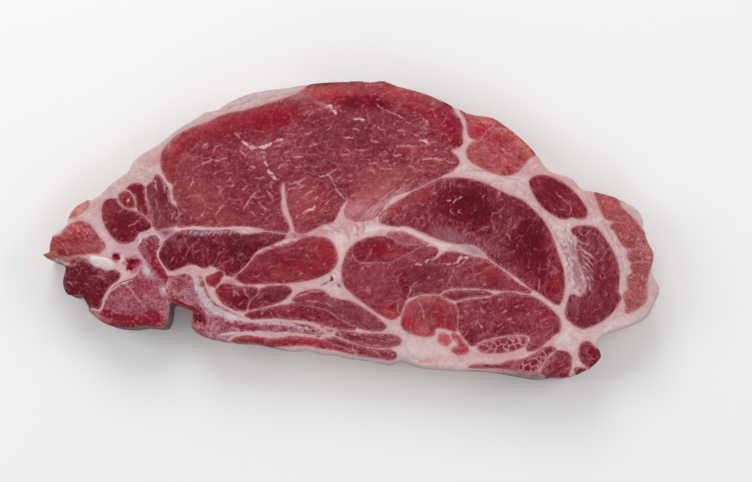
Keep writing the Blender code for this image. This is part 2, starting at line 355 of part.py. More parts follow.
def triangulate(loops, loose=()):
    """Triangles between the loops' points and the loose points, and the plane points they use."""
    points = []
    edges = []
    for loop in loops:
        first = len(points)
        points += [tuple(p) for p in loop]
        edges += [(first + i, first + (i + 1) % len(loop)) for i in range(len(loop))]
    points += [tuple(p) for p in loose]
    found = delaunay_2d_cdt(points, edges, [], 0, 1e-5)
    return np.array([tuple(p) for p in found[0]]), np.array([tuple(f) for f in found[2]]), found[3]


def tissue_map(rim, outlines):
    """Triangulate the cut face along every outline and say which piece each triangle belongs to."""
    points, triangles, _ = triangulate([rim] + outlines)
    middles = points[triangles].mean(axis=1)
    labels = np.full(len(triangles), FAT, dtype=object)
    for (name, _, _), outline in reversed(list(zip(PIECES, outlines))):
        labels[inside(middles, [outline])] = name
    labels[~inside(middles, [rim])] = OUTSIDE
    return points, triangles, labels


def neighbours(triangles):
    """For each directed edge, the triangle on its left."""
    return {(t[i], t[(i + 1) % 3]): n for n, t in enumerate(triangles) for i in range(3)}


def areas(points, triangles):
    """Area of each triangle."""
    corner = points[triangles]
    return 0.5 * np.abs(np.cross(corner[:, 1] - corner[:, 0], corner[:, 2] - corner[:, 0]))


def connected_groups(triangles, labels, owner):
    """Groups of touching triangles that share a label."""
    group = np.full(len(triangles), -1)
    members = []
    for start in range(len(triangles)):
        if group[start] >= 0:
            continue
        group[start] = len(members)
        found = [start]
        for n in found:
            for i in range(3):
                other = owner.get((triangles[n][(i + 1) % 3], triangles[n][i]), -1)
                if other >= 0 and group[other] < 0 and labels[other] == labels[n]:
                    group[other] = len(members)
                    found.append(other)
        members.append(found)
    return members


def merge_scraps(points, triangles, labels, owner):
    """Give every loose bit of a piece, and every small bit of fat, to the neighbour it borders most."""
    area = areas(points, triangles)
    groups = connected_groups(triangles, labels, owner)
    largest = {}
    for members in groups:
        label = labels[members[0]]
        largest[label] = max(largest.get(label, 0.0), area[members].sum())
    for members in groups:
        label = labels[members[0]]
        size = area[members].sum()
        spare = size < SCRAP if label == FAT else size < largest[label]
        if label == OUTSIDE or not spare:
            continue
        shared = {}
        for n in members:
            for i in range(3):
                a, b = triangles[n][i], triangles[n][(i + 1) % 3]
                other = owner.get((b, a), -1)
                if other >= 0 and labels[other] not in (label, OUTSIDE):
                    run = np.linalg.norm(points[a] - points[b])
                    shared[labels[other]] = shared.get(labels[other], 0.0) + run
        if shared:
            labels[members] = max(sorted(shared), key=shared.get)


def merged_corners(points, triangles, labels, owner):
    """Stand-ins for map points, so that no border between two pieces keeps a very short edge."""
    around = {}
    short = []
    for (a, b), n in owner.items():
        other = labels[owner[b, a]] if (b, a) in owner else OUTSIDE
        if other != labels[n]:
            around.setdefault(a, set()).update((labels[n], other))
            around.setdefault(b, set()).update((labels[n], other))
            run = np.linalg.norm(points[a] - points[b])
            if a < b and run < SHORTEST:
                short.append((run, a, b))
    stand_in = np.arange(len(points))
    used = set()
    for _, a, b in sorted(short):
        if a in used or b in used:
            continue
        used.update((a, b))
        keep, drop = (a, b) if len(around[a]) >= len(around[b]) else (b, a)
        stand_in[drop] = keep
    return stand_in


def border_loops(points, triangles, labels, members, owner, stand_in):
    """Loops of map points round a group of triangles, each with the gap that its edges need."""
    own = set(members)
    following = {}
    gap = {}
    for n in members:
        for i in range(3):
            a, b = triangles[n][i], triangles[n][(i + 1) % 3]
            other = owner.get((b, a), -1)
            if other in own:
                continue
            a, b = stand_in[a], stand_in[b]
            if a != b:
                following.setdefault(a, []).append(b)
                gap[a, b] = 0.0 if other < 0 or labels[other] == OUTSIDE else SEAM / 2
    loops = []
    while following:
        start = next(iter(following))
        loop = [start]
        here = following[start].pop()
        while here != start:
            loop.append(here)
            here = following[here].pop()
        following = {a: b for a, b in following.items() if b}
        loops.append((points[loop], np.array([gap[a, b] for a, b in zip(loop, loop[1:] + loop[:1])])))
    return loops


def draw_in(loop, gaps):
    """Move each edge of a loop to its left by its own gap; edges on the rim stay."""
    edge = np.roll(loop, -1, axis=0) - loop
    edge /= np.linalg.norm(edge, axis=1)[:, None]
    left = np.stack([-edge[:, 1], edge[:, 0]], axis=1)
    moved = []
    for i, corner in enumerate(loop):
        pair = np.array([left[i - 1], left[i]])
        want = np.array([gaps[i - 1], gaps[i]])
        shift = np.linalg.lstsq(pair, want, rcond=SHALLOW)[0]
        reach = np.linalg.norm(shift)
        moved.append(corner + shift * min(1.0, CORNER_REACH / max(reach, 1e-9)))
    return np.array(moved)


def face_height(points, loops, rim, crowned):
    """Height of the cut face: level with a slow swell, crowned on a muscle, rounded at the rim."""
    turn = points / np.array(SWELL_RUN) + np.array(SWELL_START)
    height = THICKNESS + SWELL * np.sin(turn[:, 0]) * np.cos(turn[:, 1])
    if crowned:
        rise = np.clip(distance_to(points, loops) / CROWN_REACH, 0.0, 1.0)
        height += CROWN * rise * (2.0 - rise)
    near = np.clip(1.0 - distance_to(points, [rim]) / SHOULDER, 0.0, 1.0)
    return height - SHOULDER * (1.0 - np.sqrt(1.0 - near ** 2))


def tucked(points, rim, pull):
    """Points of the back face, drawn in near the rim so that the wall leans under the chop."""
    away = distance_to(points, [rim])
    share = np.clip(1.0 - away / TUCK_REACH, 0.0, 1.0)
    return points + pull(points) * (TUCK * share)[:, None]


def inward_pull(rim):
    """A smooth field of directions that points in from the nearest stretch of the rim."""
    middles = (rim + np.roll(rim, -1, axis=0)) / 2
    edge = np.roll(rim, -1, axis=0) - rim
    length = np.linalg.norm(edge, axis=1)
    turn = np.sign(np.sum(rim[:, 0] * np.roll(rim[:, 1], -1) - np.roll(rim[:, 0], -1) * rim[:, 1]))
    inwards = turn * np.stack([-edge[:, 1], edge[:, 0]], axis=1) / length[:, None]

    def pull(points):
        away = np.linalg.norm(points[:, None] - middles[None], axis=2)
        weight = length / (away + 1.0) ** NEAREST_WEIGHT
        total = (weight[:, :, None] * inwards[None]).sum(axis=1)
        return total / weight.sum(axis=1)[:, None]

    return pull


def inner_points(loops, lattice, shoulder_ring):
    """Points inside a piece that carry its crown and its soft edge, clear of its border."""
    spots = np.vstack([lattice, shoulder_ring])
    clear = np.concatenate([np.full(len(lattice), INNER_CLEAR), np.full(len(shoulder_ring), RING_CLEAR)])
    held = inside(spots, loops)
    spots, clear = spots[held], clear[held]
    return spots[distance_to(spots, loops) > clear] if len(spots) else spots


def solid(name, tissue, loops, gaps, rim, pull, lattice, shoulder_ring, centre):
    """One closed piece: the cut face above, the back face below and walls between them."""
    on_rim = [(g == 0.0) | (np.roll(g, 1) == 0.0) for g in gaps]
    loops = [draw_in(loop, g) for loop, g in zip(loops, gaps)]
    loose = inner_points(loops, lattice, shoulder_ring)
    border = np.vstack(loops)

    above = np.vstack([border, loose]) if len(loose) else border
    heights = face_height(above, loops, rim, tissue != FAT)
    vertices = [(p[0], p[1], z) for p, z in zip(above, heights)]
    points, triangles, origins = triangulate(loops, loose)
    held = inside(points[triangles].mean(axis=1), loops)
    faces = [[origins[i][0] for i in t] for t in triangles[held]]

    low = tucked(border, rim, pull)
    low_loops = np.split(low, np.cumsum([len(loop) for loop in loops])[:-1])
    first_low = len(vertices)
    vertices += [(p[0], p[1], 0.0) for p in low]
    points, triangles, origins = triangulate(low_loops)
    held = inside(points[triangles].mean(axis=1), low_loops)
    faces += [[first_low + origins[i][0] for i in reversed(t)] for t in triangles[held]]

    belly = {}
    for i in np.flatnonzero(np.concatenate(on_rim)):
        belly[i] = len(vertices)
        vertices.append((border[i][0], border[i][1], BELLY))

    first = 0
    for loop in loops:
        for i in range(len(loop)):
            here, there = first + i, first + (i + 1) % len(loop)
            down = [here] + ([belly[here]] if here in belly else []) + [first_low + here]
            up = [first_low + there] + ([belly[there]] if there in belly else []) + [there]
            faces += wall(down, up, vertices)
        first += len(loop)

    mesh = bpy.data.meshes.new(name)
    mesh.from_pydata([tuple((np.array(v) - centre) * MM) for v in vertices], [], faces)
    mesh.update()
    piece = bpy.data.objects.new(name, mesh)
    mesh.materials.append(tissue_material(tissue))
    bpy.context.collection.objects.link(piece)
    return piece


def wall(down, right, vertices):
    """Triangles between two upright columns of points, zipped from the back face upwards."""
    left = down[::-1]
    faces = []
    i = j = 0
    while i < len(left) - 1 or j < len(right) - 1:
        climb_left = j == len(right) - 1 or (
            i < len(left) - 1 and vertices[left[i + 1]][2] <= vertices[right[j + 1]][2])
        if climb_left:
            faces.append([left[i], right[j], left[i + 1]])
            i += 1
        else:
            faces.append([left[i], right[j], right[j + 1]])
            j += 1
    return faces


def tissue_material(tissue):
    """The tissue's material, made once."""
    found = bpy.data.materials.get(tissue)
    if found:
        return found
    colour, roughness, metallic = TISSUES[tissue]
    material = bpy.data.materials.new(tissue)
    material.use_nodes = True
    shader = material.node_tree.nodes["Principled BSDF"]
    shader.inputs["Base Color"].default_value = (*colour, 1.0)
    shader.inputs["Roughness"].default_value = roughness
    shader.inputs["Metallic"].default_value = metallic
    return material


def hex_lattice(rim, step):
    """Evenly spread points over the rim's bounding box, every other row shifted by half a step."""
    low, high = rim.min(axis=0), rim.max(axis=0)
    rows = np.arange(low[1], high[1], step * np.sqrt(0.75))
    return np.array([(x + (row % 2) * step / 2, y)
                     for row, y in enumerate(rows) for x in np.arange(low[0], high[0], step)])


def build():
    """Model the chop, piece by piece."""
    for thing in list(bpy.data.objects):
        bpy.data.objects.remove(thing)
    rim = smooth_loop(RIM)
    outlines = [smooth_loop(outline) for _, _, outline in PIECES]
    points, triangles, labels = tissue_map(rim, outlines)
    owner = neighbours(triangles)
    merge_scraps(points, triangles, labels, owner)

    stand_in = merged_corners(points, triangles, labels, owner)
    pull = inward_pull(rim)
    shoulder_ring = rim + SHOULDER_RING * pull(rim)
    lattice = hex_lattice(rim, INNER_STEP)
    middle = (rim.min(axis=0) + rim.max(axis=0)) / 2
    centre = np.array([middle[0], middle[1], 0.0])
    tissue_of = {name: tissue for name, tissue, _ in PIECES}
    fat_names = iter(["fat_web", "fat_cap"])

    groups = [g for g in connected_groups(triangles, labels, owner) if labels[g[0]] != OUTSIDE]
    area = areas(points, triangles)
    groups.sort(key=lambda members: -area[members].sum())
    for members in groups:
        label = labels[members[0]]
        name = next(fat_names) if label == FAT else label
        found = border_loops(points, triangles, labels, members, owner, stand_in)
        loops = [loop for loop, _ in found]
        gaps = [gap for _, gap in found]
        solid(name, tissue_of.get(label, FAT), loops, gaps, rim, pull, lattice, shoulder_ring, centre)


build()
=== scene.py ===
"""Looks of a raw bone-in pork shoulder chop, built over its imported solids.

Each solid is dressed as a piece of its own. Its cut face is meshed finely inside the solid's own
outline, raised into the crown, the seams and the soft edge of wet meat, and painted point by point
with the tone, marbling and blood of its tissue. The shaders add grain, gloss and fine relief.
Sizes are in millimetres unless a name says otherwise.
"""

import json
import logging
import math
from dataclasses import dataclass, field
from enum import Enum, IntEnum

import bpy
import numpy as np
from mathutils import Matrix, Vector
from mathutils.geometry import delaunay_2d_cdt
from mathutils.kdtree import KDTree


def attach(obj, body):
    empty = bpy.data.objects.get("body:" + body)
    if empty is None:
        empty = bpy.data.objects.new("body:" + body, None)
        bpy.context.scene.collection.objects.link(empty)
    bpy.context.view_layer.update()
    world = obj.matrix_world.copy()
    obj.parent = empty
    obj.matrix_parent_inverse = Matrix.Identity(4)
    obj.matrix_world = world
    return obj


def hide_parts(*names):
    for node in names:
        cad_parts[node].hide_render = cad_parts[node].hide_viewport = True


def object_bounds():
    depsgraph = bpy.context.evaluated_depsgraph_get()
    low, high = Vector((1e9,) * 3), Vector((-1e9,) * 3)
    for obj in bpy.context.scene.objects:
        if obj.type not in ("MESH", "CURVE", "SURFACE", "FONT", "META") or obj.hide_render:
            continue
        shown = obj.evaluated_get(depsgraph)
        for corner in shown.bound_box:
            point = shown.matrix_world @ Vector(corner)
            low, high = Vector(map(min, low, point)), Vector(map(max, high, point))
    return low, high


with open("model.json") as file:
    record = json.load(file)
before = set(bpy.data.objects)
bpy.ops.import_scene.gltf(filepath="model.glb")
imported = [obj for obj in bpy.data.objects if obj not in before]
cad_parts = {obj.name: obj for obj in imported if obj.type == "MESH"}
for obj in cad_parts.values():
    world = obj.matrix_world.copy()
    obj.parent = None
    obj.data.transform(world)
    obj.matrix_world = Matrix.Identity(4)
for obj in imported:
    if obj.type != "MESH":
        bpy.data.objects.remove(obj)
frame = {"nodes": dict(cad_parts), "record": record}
CAD_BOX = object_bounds()
METRES = 0.001
TINY = 1e-9   # keeps lengths from dividing by nothing
SHORTEST = 1e-6   # millimetres, the shortest length that counts
GOLDEN_SHARE = 0.618   # steps of this share of a range spread evenly over it
HASH_AXES = (374761393, 668265263, 1440662683)   # large odd numbers that scatter a cell's three indices
HASH_SEED = 974711
HASH_MIX = 1274126177
FIELD_SHIFT = 17.31   # moves each seed's field, so that no two share their cells
MARK_SHIFT = np.array([0.17, -0.68])   # from the frame in which the marks were measured to the row frame
GLOSS_VEIL = 0.012   # light that the wet gloss lays over every colour, taken off the painted tone


class Tint(Enum):
    """Colours of the tissues, and a painted shade for walls that lie in shadow, in sRGB from 0 to 255, as
    they look in soft white light.
    """

    FAT_WHITE = (226, 211, 208)
    FAT_GREY = (190, 174, 174)
    FAT_PINK = (206, 150, 152)
    SALMON = (214, 154, 148)
    BEIGE = (208, 186, 180)
    SILVER = (206, 194, 202)
    MEMBRANE = (146, 112, 124)
    GREY_LINE = (128, 94, 102)
    MARBLE = (204, 140, 144)
    MARBLE_WHITE = (228, 190, 188)
    HAZE = (158, 98, 106)
    ROSE = (168, 84, 90)
    PALE_LEAN = (182, 100, 104)
    CORAL = (200, 84, 86)
    ORANGE = (206, 114, 98)
    AMBER = (208, 138, 114)
    TAN = (158, 116, 84)
    BRIGHT = (176, 38, 52)
    RED = (150, 32, 44)
    DEEP = (114, 24, 40)
    DARK = (98, 14, 34)
    DARKEST = (84, 4, 28)
    PLUM = (104, 38, 52)
    # Brown is a tissue tone, and also the painted shade that darkens the walls towards the bottom.
    BROWN = (116, 70, 66)
    # Painted shade: the dark grey-brown of walls that lie in shadow.
    PAINTED_SHADE = (84, 66, 60)
    BLOOD = (126, 2, 32)
    BLOOD_DEEP = (74, 0, 14)
    CRIMSON = (150, 46, 66)
    CORTEX = (208, 195, 199)
    MARROW_PALE = (192, 126, 134)
    LILAC = (164, 122, 138)
    BONE_GREY = (140, 110, 112)

    def shade(self) -> np.ndarray:
        """The colour as an array from 0 to 1, still in sRGB."""
        return np.array(self.value, float) / 255.0


class Noise(IntEnum):
    """Seeds of the random fields that all pieces share, so that their patterns run on across the seams."""

    FAT_CLOUD = 31
    FAT_THREAD = 32
    FAT_THREAD_PLACE = 33
    FAT_LAYER = 34
    FAT_DULL = 35
    BONE_WALL = 36
    FAT_FINE = 37
    WALL_WAVE = 51
    WALL_RIPPLE = 52
    WALL_FLOW = 53
    WARP_X = 71
    WARP_Y = 72
    FRET_X = 73
    FRET_Y = 74
    MARK_WIDTH = 75
    MARK_GAPS = 76
    FLECK_WIDTH = 77
    FLECK_GAPS = 78
    SEAM_SWAY = 81
    SEAM_FRAY = 82
    WALL_SKIN = 83


def linear(shades: np.ndarray) -> np.ndarray:
    """Turn sRGB values into linear ones.

    Args:
        shades: sRGB values from 0 to 1.

    Returns:
        Linear values from 0 to 1.
    """
    shades = np.clip(shades, 0.0, 1.0)
    values = np.where(shades <= 0.04045, shades / 12.92, ((shades + 0.055) / 1.055) ** 2.4)
    return np.maximum(values - GLOSS_VEIL, 0.002)


def ramp(values: np.ndarray, low: float, high: float) -> np.ndarray:
    """Rise smoothly from 0 at low to 1 at high.

    Args:
        values: The numbers to turn into shares.
        low: Value that gives 0.
        high: Value that gives 1. It may be below low.

    Returns:
        Shares from 0 to 1.
    """
    share = np.clip((values - low) / (high - low), 0.0, 1.0)
    return share * share * (3.0 - 2.0 * share)


def ripple(spots: np.ndarray, size: float, seed: int) -> np.ndarray:
    """Smooth random field from 0 to 1.

    Args:
        spots: Points, one a row.
        size: Distance over which the field changes.
        seed: Number that picks the field.

    Returns:
        The field's value at each point.
    """
    scaled = spots / size + seed * FIELD_SHIFT
    cell = np.floor(scaled).astype(np.int64)
    part = scaled - cell
    part = part * part * (3.0 - 2.0 * part)
    total = np.zeros(len(spots))
    for corner in np.ndindex(2, 2, 2):
        at = cell + np.array(corner)
        mixed = sum(at[:, axis] * number for axis, number in enumerate(HASH_AXES)) + seed * HASH_SEED
        mixed = (mixed ^ (mixed >> 13)) * HASH_MIX
        value = ((mixed ^ (mixed >> 16)) & 0xFFFF) / 65535.0
        weight = np.prod(np.where(corner, part, 1.0 - part), axis=1)
        total += value * weight
    return total


def ripples(spots: np.ndarray, size: float, *seeds: int) -> np.ndarray:
    """Several random fields from 0 to 1, side by side."""
    return np.column_stack([ripple(spots, size, seed) for seed in seeds])


def mix(shades: np.ndarray, tint: Tint, share: np.ndarray) -> np.ndarray:
    """Blend a tint over the shades by each point's share."""
    return blend(shades, tint.shade(), share)


def blend(shades: np.ndarray, over: np.ndarray, share: np.ndarray) -> np.ndarray:
    """Blend one colour, or a colour for each point, over the shades by each point's share."""
    return shades + (over - shades) * np.clip(share, 0.0, 1.0)[:, None]


@dataclass(frozen=True)
class Streak:
    """A thin line in the tissue: marbling, a membrane, a vessel or a smear of blood.

    A wet one shines more. A loose one has a width that wanders, and gaps. Its way is a row of x, y points.
    """

    tint: Tint
    width: float
    strength: float
    way: tuple[tuple[float, float], ...]
    wet: float = 0.0
    loose: float = 1.0

    def cover(self, spots: np.ndarray, fray: np.ndarray) -> tuple[np.ndarray, np.ndarray]:
        """Find the points that the streak covers.

        Args:
            spots: Points on the face, one a row.
            fray: Two random fields that vary its width and break it up.

        Returns:
            The indices of the points and their shares of the streak's tint.
        """
        way = np.array(self.way) + MARK_SHIFT
        soft = 0.2 + 0.16 * self.width
        reach = self.width * 0.9 + soft
        near = np.flatnonzero(np.all((spots > way.min(0) - reach) & (spots < way.max(0) + reach), axis=1))
        if not len(near):
            return near, np.zeros(0)
        best = np.full(len(near), np.inf)
        along = np.zeros(len(near))
        steps = np.linalg.norm(np.diff(way, axis=0), axis=1)
        length = max(steps.sum(), SHORTEST)
        gone = 0.0
        for start, end, step in zip(way[:-1], way[1:], steps):
            run = end - start
            share = np.clip((spots[near] - start) @ run / max(run @ run, TINY), 0.0, 1.0)
            away = np.linalg.norm(spots[near] - start - share[:, None] * run, axis=1)
            closer = away < best
            best[closer] = away[closer]
            along[closer] = (gone + share * step)[closer] / length
            gone += step
        half = np.full(len(near), self.width / 2)
        if length > 2.0 * self.width:
            half *= 0.4 + 0.6 * np.sin(np.pi * np.clip(along * 0.96 + 0.02, 0.0, 1.0)) ** 0.6
        half *= 1.0 + self.loose * (1.6 * fray[near, 0] - 0.8)
        whole = 1.0 - 0.8 * self.loose * ramp(fray[near, 1], 0.42, 0.15)
        return near, self.strength * whole * ramp(best - half, soft * 0.7, -soft * 0.5)


@dataclass(frozen=True)
class Patch:
    """A soft oval cloud of another tone, turned anticlockwise by some degrees."""

    tint: Tint
    strength: float
    x: float
    y: float
    reach_x: float
    reach_y: float
    turn: float = 0.0

    def cover(self, spots: np.ndarray, rough: np.ndarray) -> np.ndarray:
        """Share of the patch's tint at each point.

        Args:
            spots: Points on the face.
            rough: Random field from 0 to 1 that frays the patch's edge.

        Returns:
            A share for every point.
        """
        away = spots - MARK_SHIFT - np.array([self.x, self.y])
        angle = math.radians(self.turn)
        across = away @ np.array([math.cos(angle), math.sin(angle)]) / self.reach_x
        up = away @ np.array([-math.sin(angle), math.cos(angle)]) / self.reach_y
        radius = np.hypot(across, up) * (0.75 + 0.5 * rough)
        return self.strength * np.exp(-radius ** 2.6)


@dataclass(frozen=True)
class CellNet:
    """Small dark lobes of lean in a pale net. Reach and line are the usual radius and width of the two."""

    centres: tuple[tuple[float, float], ...]
    line: float
    reach: float
    lobe: Tint
    net: Tint

    def cover(self, shades: np.ndarray, spots: np.ndarray) -> np.ndarray:
        """Paint the lobes and the net.

        Args:
            shades: Colours so far.
            spots: Points on the face.

        Returns:
            The new colours.
        """
        centres = np.array(self.centres) + MARK_SHIFT
        place = np.column_stack([spots, np.zeros(len(spots))])
        sway = ripples(place, 1.3, Noise.WARP_X, Noise.WARP_Y) - 0.5
        thick = 0.55 + 0.9 * ripple(place, 1.6, Noise.FRET_X)
        size = 0.7 + 0.7 * ((np.arange(len(centres)) * GOLDEN_SHARE) % 1.0)
        away = np.linalg.norm((spots + 1.5 * sway)[:, None] - centres[None], axis=2) / size
        away = np.sort(away, axis=1) / thick[:, None] ** 0.3
        lobe = ramp(away[:, 0], self.reach, self.reach * 0.5)
        line = ramp(away[:, 1] - away[:, 0], self.line * 1.6, self.line * 0.5)
        around = ramp(np.abs(away[:, 0] - self.reach), self.line, self.line * 0.3)
        shades = mix(shades, self.lobe, 0.6 * lobe)
        near = ramp(away[:, 0], self.reach * 1.15, self.reach)
        return mix(shades, self.net, np.maximum(line * near, 0.5 * around) * np.minimum(thick, 1.0) * 0.9)


def smear(tint: Tint, width: float, strength: float, wet: float, loose: float, *numbers: float) -> Streak:
    """A streak through the points whose coordinates follow one another as x, y, x, y."""
    return Streak(tint, width, strength, tuple(zip(numbers[0::2], numbers[1::2])), wet, loose)


def streak(tint: Tint, width: float, strength: float, *numbers: float) -> Streak:
    """A dry streak whose width wanders and that breaks up, as marbling does."""
    return smear(tint, width, strength, 0.0, 1.0, *numbers)


def firm(tint: Tint, width: float, strength: float, *numbers: float) -> Streak:
    """A streak of nearly even width, as sawn bone and strong sinew show."""
    return smear(tint, width, strength, 0.0, 0.25, *numbers)


def streaks(tint: Tint, width: float, strength: float, *ways: tuple[float, ...]) -> list[Streak]:
    """Several streaks of one kind."""
    return [streak(tint, width, strength, *way) for way in ways]


def spot(tint: Tint, strength: float, x: float, y: float, size: float, tall: float = 0.0) -> Streak:
    """A small round or upright dab, as short as a streak can be."""
    half = max(tall - size, 0.04) / 2
    return smear(tint, size, strength, 0.0, 0.35, x, y - half, x, y + half)


def patches(*rows: tuple) -> list[Patch]:
    """Several patches, each from its tint, strength, place, reaches and turn."""
    return [Patch(*row) for row in rows]


class Skin(Enum):
    """Which side of a piece a point lies on."""

    FACE = 0
    BACK = 1
    WALL = 2


@dataclass
class Spots:
    """The points of one piece, with what its painting needs to know of each.

    The places have the back face moved up to another part of the random fields, and the flat ones are a
    little warped. The distances are to the piece's border, and nearest numbers its nearest point.
    """

    place: np.ndarray
    flat: np.ndarray
    away: np.ndarray
    nearest: np.ndarray
    back: np.ndarray
    wall: np.ndarray


@dataclass(frozen=True)
class Finish:
    """How a tissue takes the light: its gloss, its grain and its fine relief."""

    title: str
    roughness: float
    roughness_swing: float
    specular: float
    coat: float
    grain_size: float
    grain_contrast: float
    fleck_size: float
    fleck_contrast: float
    relief: float
    relief_size: float
    subsurface: float = 0.0

    def material(self) -> bpy.types.Material:
        """Build the node material once and hand it out after that.

        Returns:
            The tissue's material.
        """
        found = bpy.data.materials.get(self.title)
        if found:
            return found
        made = bpy.data.materials.new(self.title)
        made.use_nodes = True
        tree = made.node_tree
        shader = tree.nodes["Principled BSDF"]
        place = tree.nodes.new("ShaderNodeTexCoord").outputs["Object"]
        paint = tree.nodes.new("ShaderNodeAttribute")
        paint.attribute_name = "paint"

        grain = self._noise(tree, place, self.grain_size, 3.0)
        fleck = self._noise(tree, place, self.fleck_size, 2.0)
        grain_gain = self._range(tree, grain, 0.3, 0.7, 1.0 - self.grain_contrast, 1.0 + self.grain_contrast)
        fleck_gain = self._range(tree, fleck, 0.3, 0.7, 1.0 - self.fleck_contrast, 1.0 + self.fleck_contrast)
        gain = tree.nodes.new("ShaderNodeMath")
        gain.operation = "MULTIPLY"
        tree.links.new(grain_gain, gain.inputs[0])
        tree.links.new(fleck_gain, gain.inputs[1])
        scale = tree.nodes.new("ShaderNodeVectorMath")
        scale.operation = "SCALE"
        tree.links.new(paint.outputs["Color"], scale.inputs[0])
        tree.links.new(gain.outputs[0], scale.inputs["Scale"])
        tree.links.new(scale.outputs[0], shader.inputs["Base Color"])

        dry = self._range(tree, fleck, 0.3, 0.7, self.roughness - self.roughness_swing,
                          self.roughness + self.roughness_swing)
        wet = tree.nodes.new("ShaderNodeMath")
        wet.operation = "MULTIPLY"
        tree.links.new(dry, wet.inputs[0])
        tree.links.new(paint.outputs["Alpha"], wet.inputs[1])
        tree.links.new(wet.outputs[0], shader.inputs["Roughness"])

        bump = tree.nodes.new("ShaderNodeBump")
        bump.inputs["Strength"].default_value = 1.0
        bump.inputs["Distance"].default_value = self.relief * METRES
        height = self._noise(tree, place, self.relief_size, 4.0)
        tree.links.new(height, bump.inputs["Height"])
        tree.links.new(bump.outputs["Normal"], shader.inputs["Normal"])
        shader.inputs["Specular IOR Level"].default_value = self.specular
        shader.inputs["Coat Weight"].default_value = self.coat
        shader.inputs["Coat Roughness"].default_value = 0.22
        if self.subsurface:
            shader.inputs["Subsurface Weight"].default_value = self.subsurface
            shader.inputs["Subsurface Radius"].default_value = (1.0, 0.45, 0.35)
            shader.inputs["Subsurface Scale"].default_value = 0.0008
        return made

    def _noise(self, tree: bpy.types.NodeTree, place: bpy.types.NodeSocket, size: float,
               detail: float) -> bpy.types.NodeSocket:
        """Noise of the given grain.

        Args:
            tree: The material's nodes.
            place: Coordinates in metres.
            size: Breadth of a grain in millimetres.
            detail: Octaves of finer grain.

        Returns:
            The noise as a number.
        """
        node = tree.nodes.new("ShaderNodeTexNoise")
        node.inputs["Scale"].default_value = 1.0 / (size * METRES)
        node.inputs["Detail"].default_value = detail
        node.inputs["Roughness"].default_value = 0.6
        tree.links.new(place, node.inputs["Vector"])
        return node.outputs["Fac"]

    def _range(self, tree: bpy.types.NodeTree, value: bpy.types.NodeSocket, low: float, high: float,
               to_low: float, to_high: float) -> bpy.types.NodeSocket:
        """Map a number from one range to another.

        Args:
            tree: The material's nodes.
            value: The number.
            low: Value that becomes to_low.
            high: Value that becomes to_high.
            to_low: Result at low.
            to_high: Result at high.

        Returns:
            The mapped number.
        """
        node = tree.nodes.new("ShaderNodeMapRange")
        for name, number in (("From Min", low), ("From Max", high), ("To Min", to_low), ("To Max", to_high)):
            node.inputs[name].default_value = number
        tree.links.new(value, node.inputs["Value"])
        return node.outputs["Result"]


LEAN_FINISH = Finish(
    "wet_lean", roughness=0.38, roughness_swing=0.08, specular=0.14, coat=0.0, grain_size=0.8,
    grain_contrast=0.12, fleck_size=0.24, fleck_contrast=0.2, relief=0.1, relief_size=0.5)
FAT_FINISH = Finish(
    "moist_fat", roughness=0.38, roughness_swing=0.07, specular=0.22, coat=0.0, grain_size=1.2,
    grain_contrast=0.02, fleck_size=0.3, fleck_contrast=0.025, relief=0.05, relief_size=0.6, subsurface=0.08)
BONE_FINISH = Finish(
    "sawn_bone", roughness=0.42, roughness_swing=0.1, specular=0.2, coat=0.0, grain_size=0.6,
    grain_contrast=0.06, fleck_size=0.24, fleck_contrast=0.16, relief=0.12, relief_size=0.4)
GRISTLE_FINISH = Finish(
    "smooth_gristle", roughness=0.28, roughness_swing=0.04, specular=0.4, coat=0.1, grain_size=2.0,
    grain_contrast=0.02, fleck_size=0.6, fleck_contrast=0.02, relief=0.02, relief_size=1.2, subsurface=0.15)
MEMBRANE_FINISH = Finish(
    "inner_membrane", roughness=0.5, roughness_swing=0.05, specular=0.4, coat=0.0, grain_size=1.0,
    grain_contrast=0.05, fleck_size=0.4, fleck_contrast=0.05, relief=0.03, relief_size=0.6)


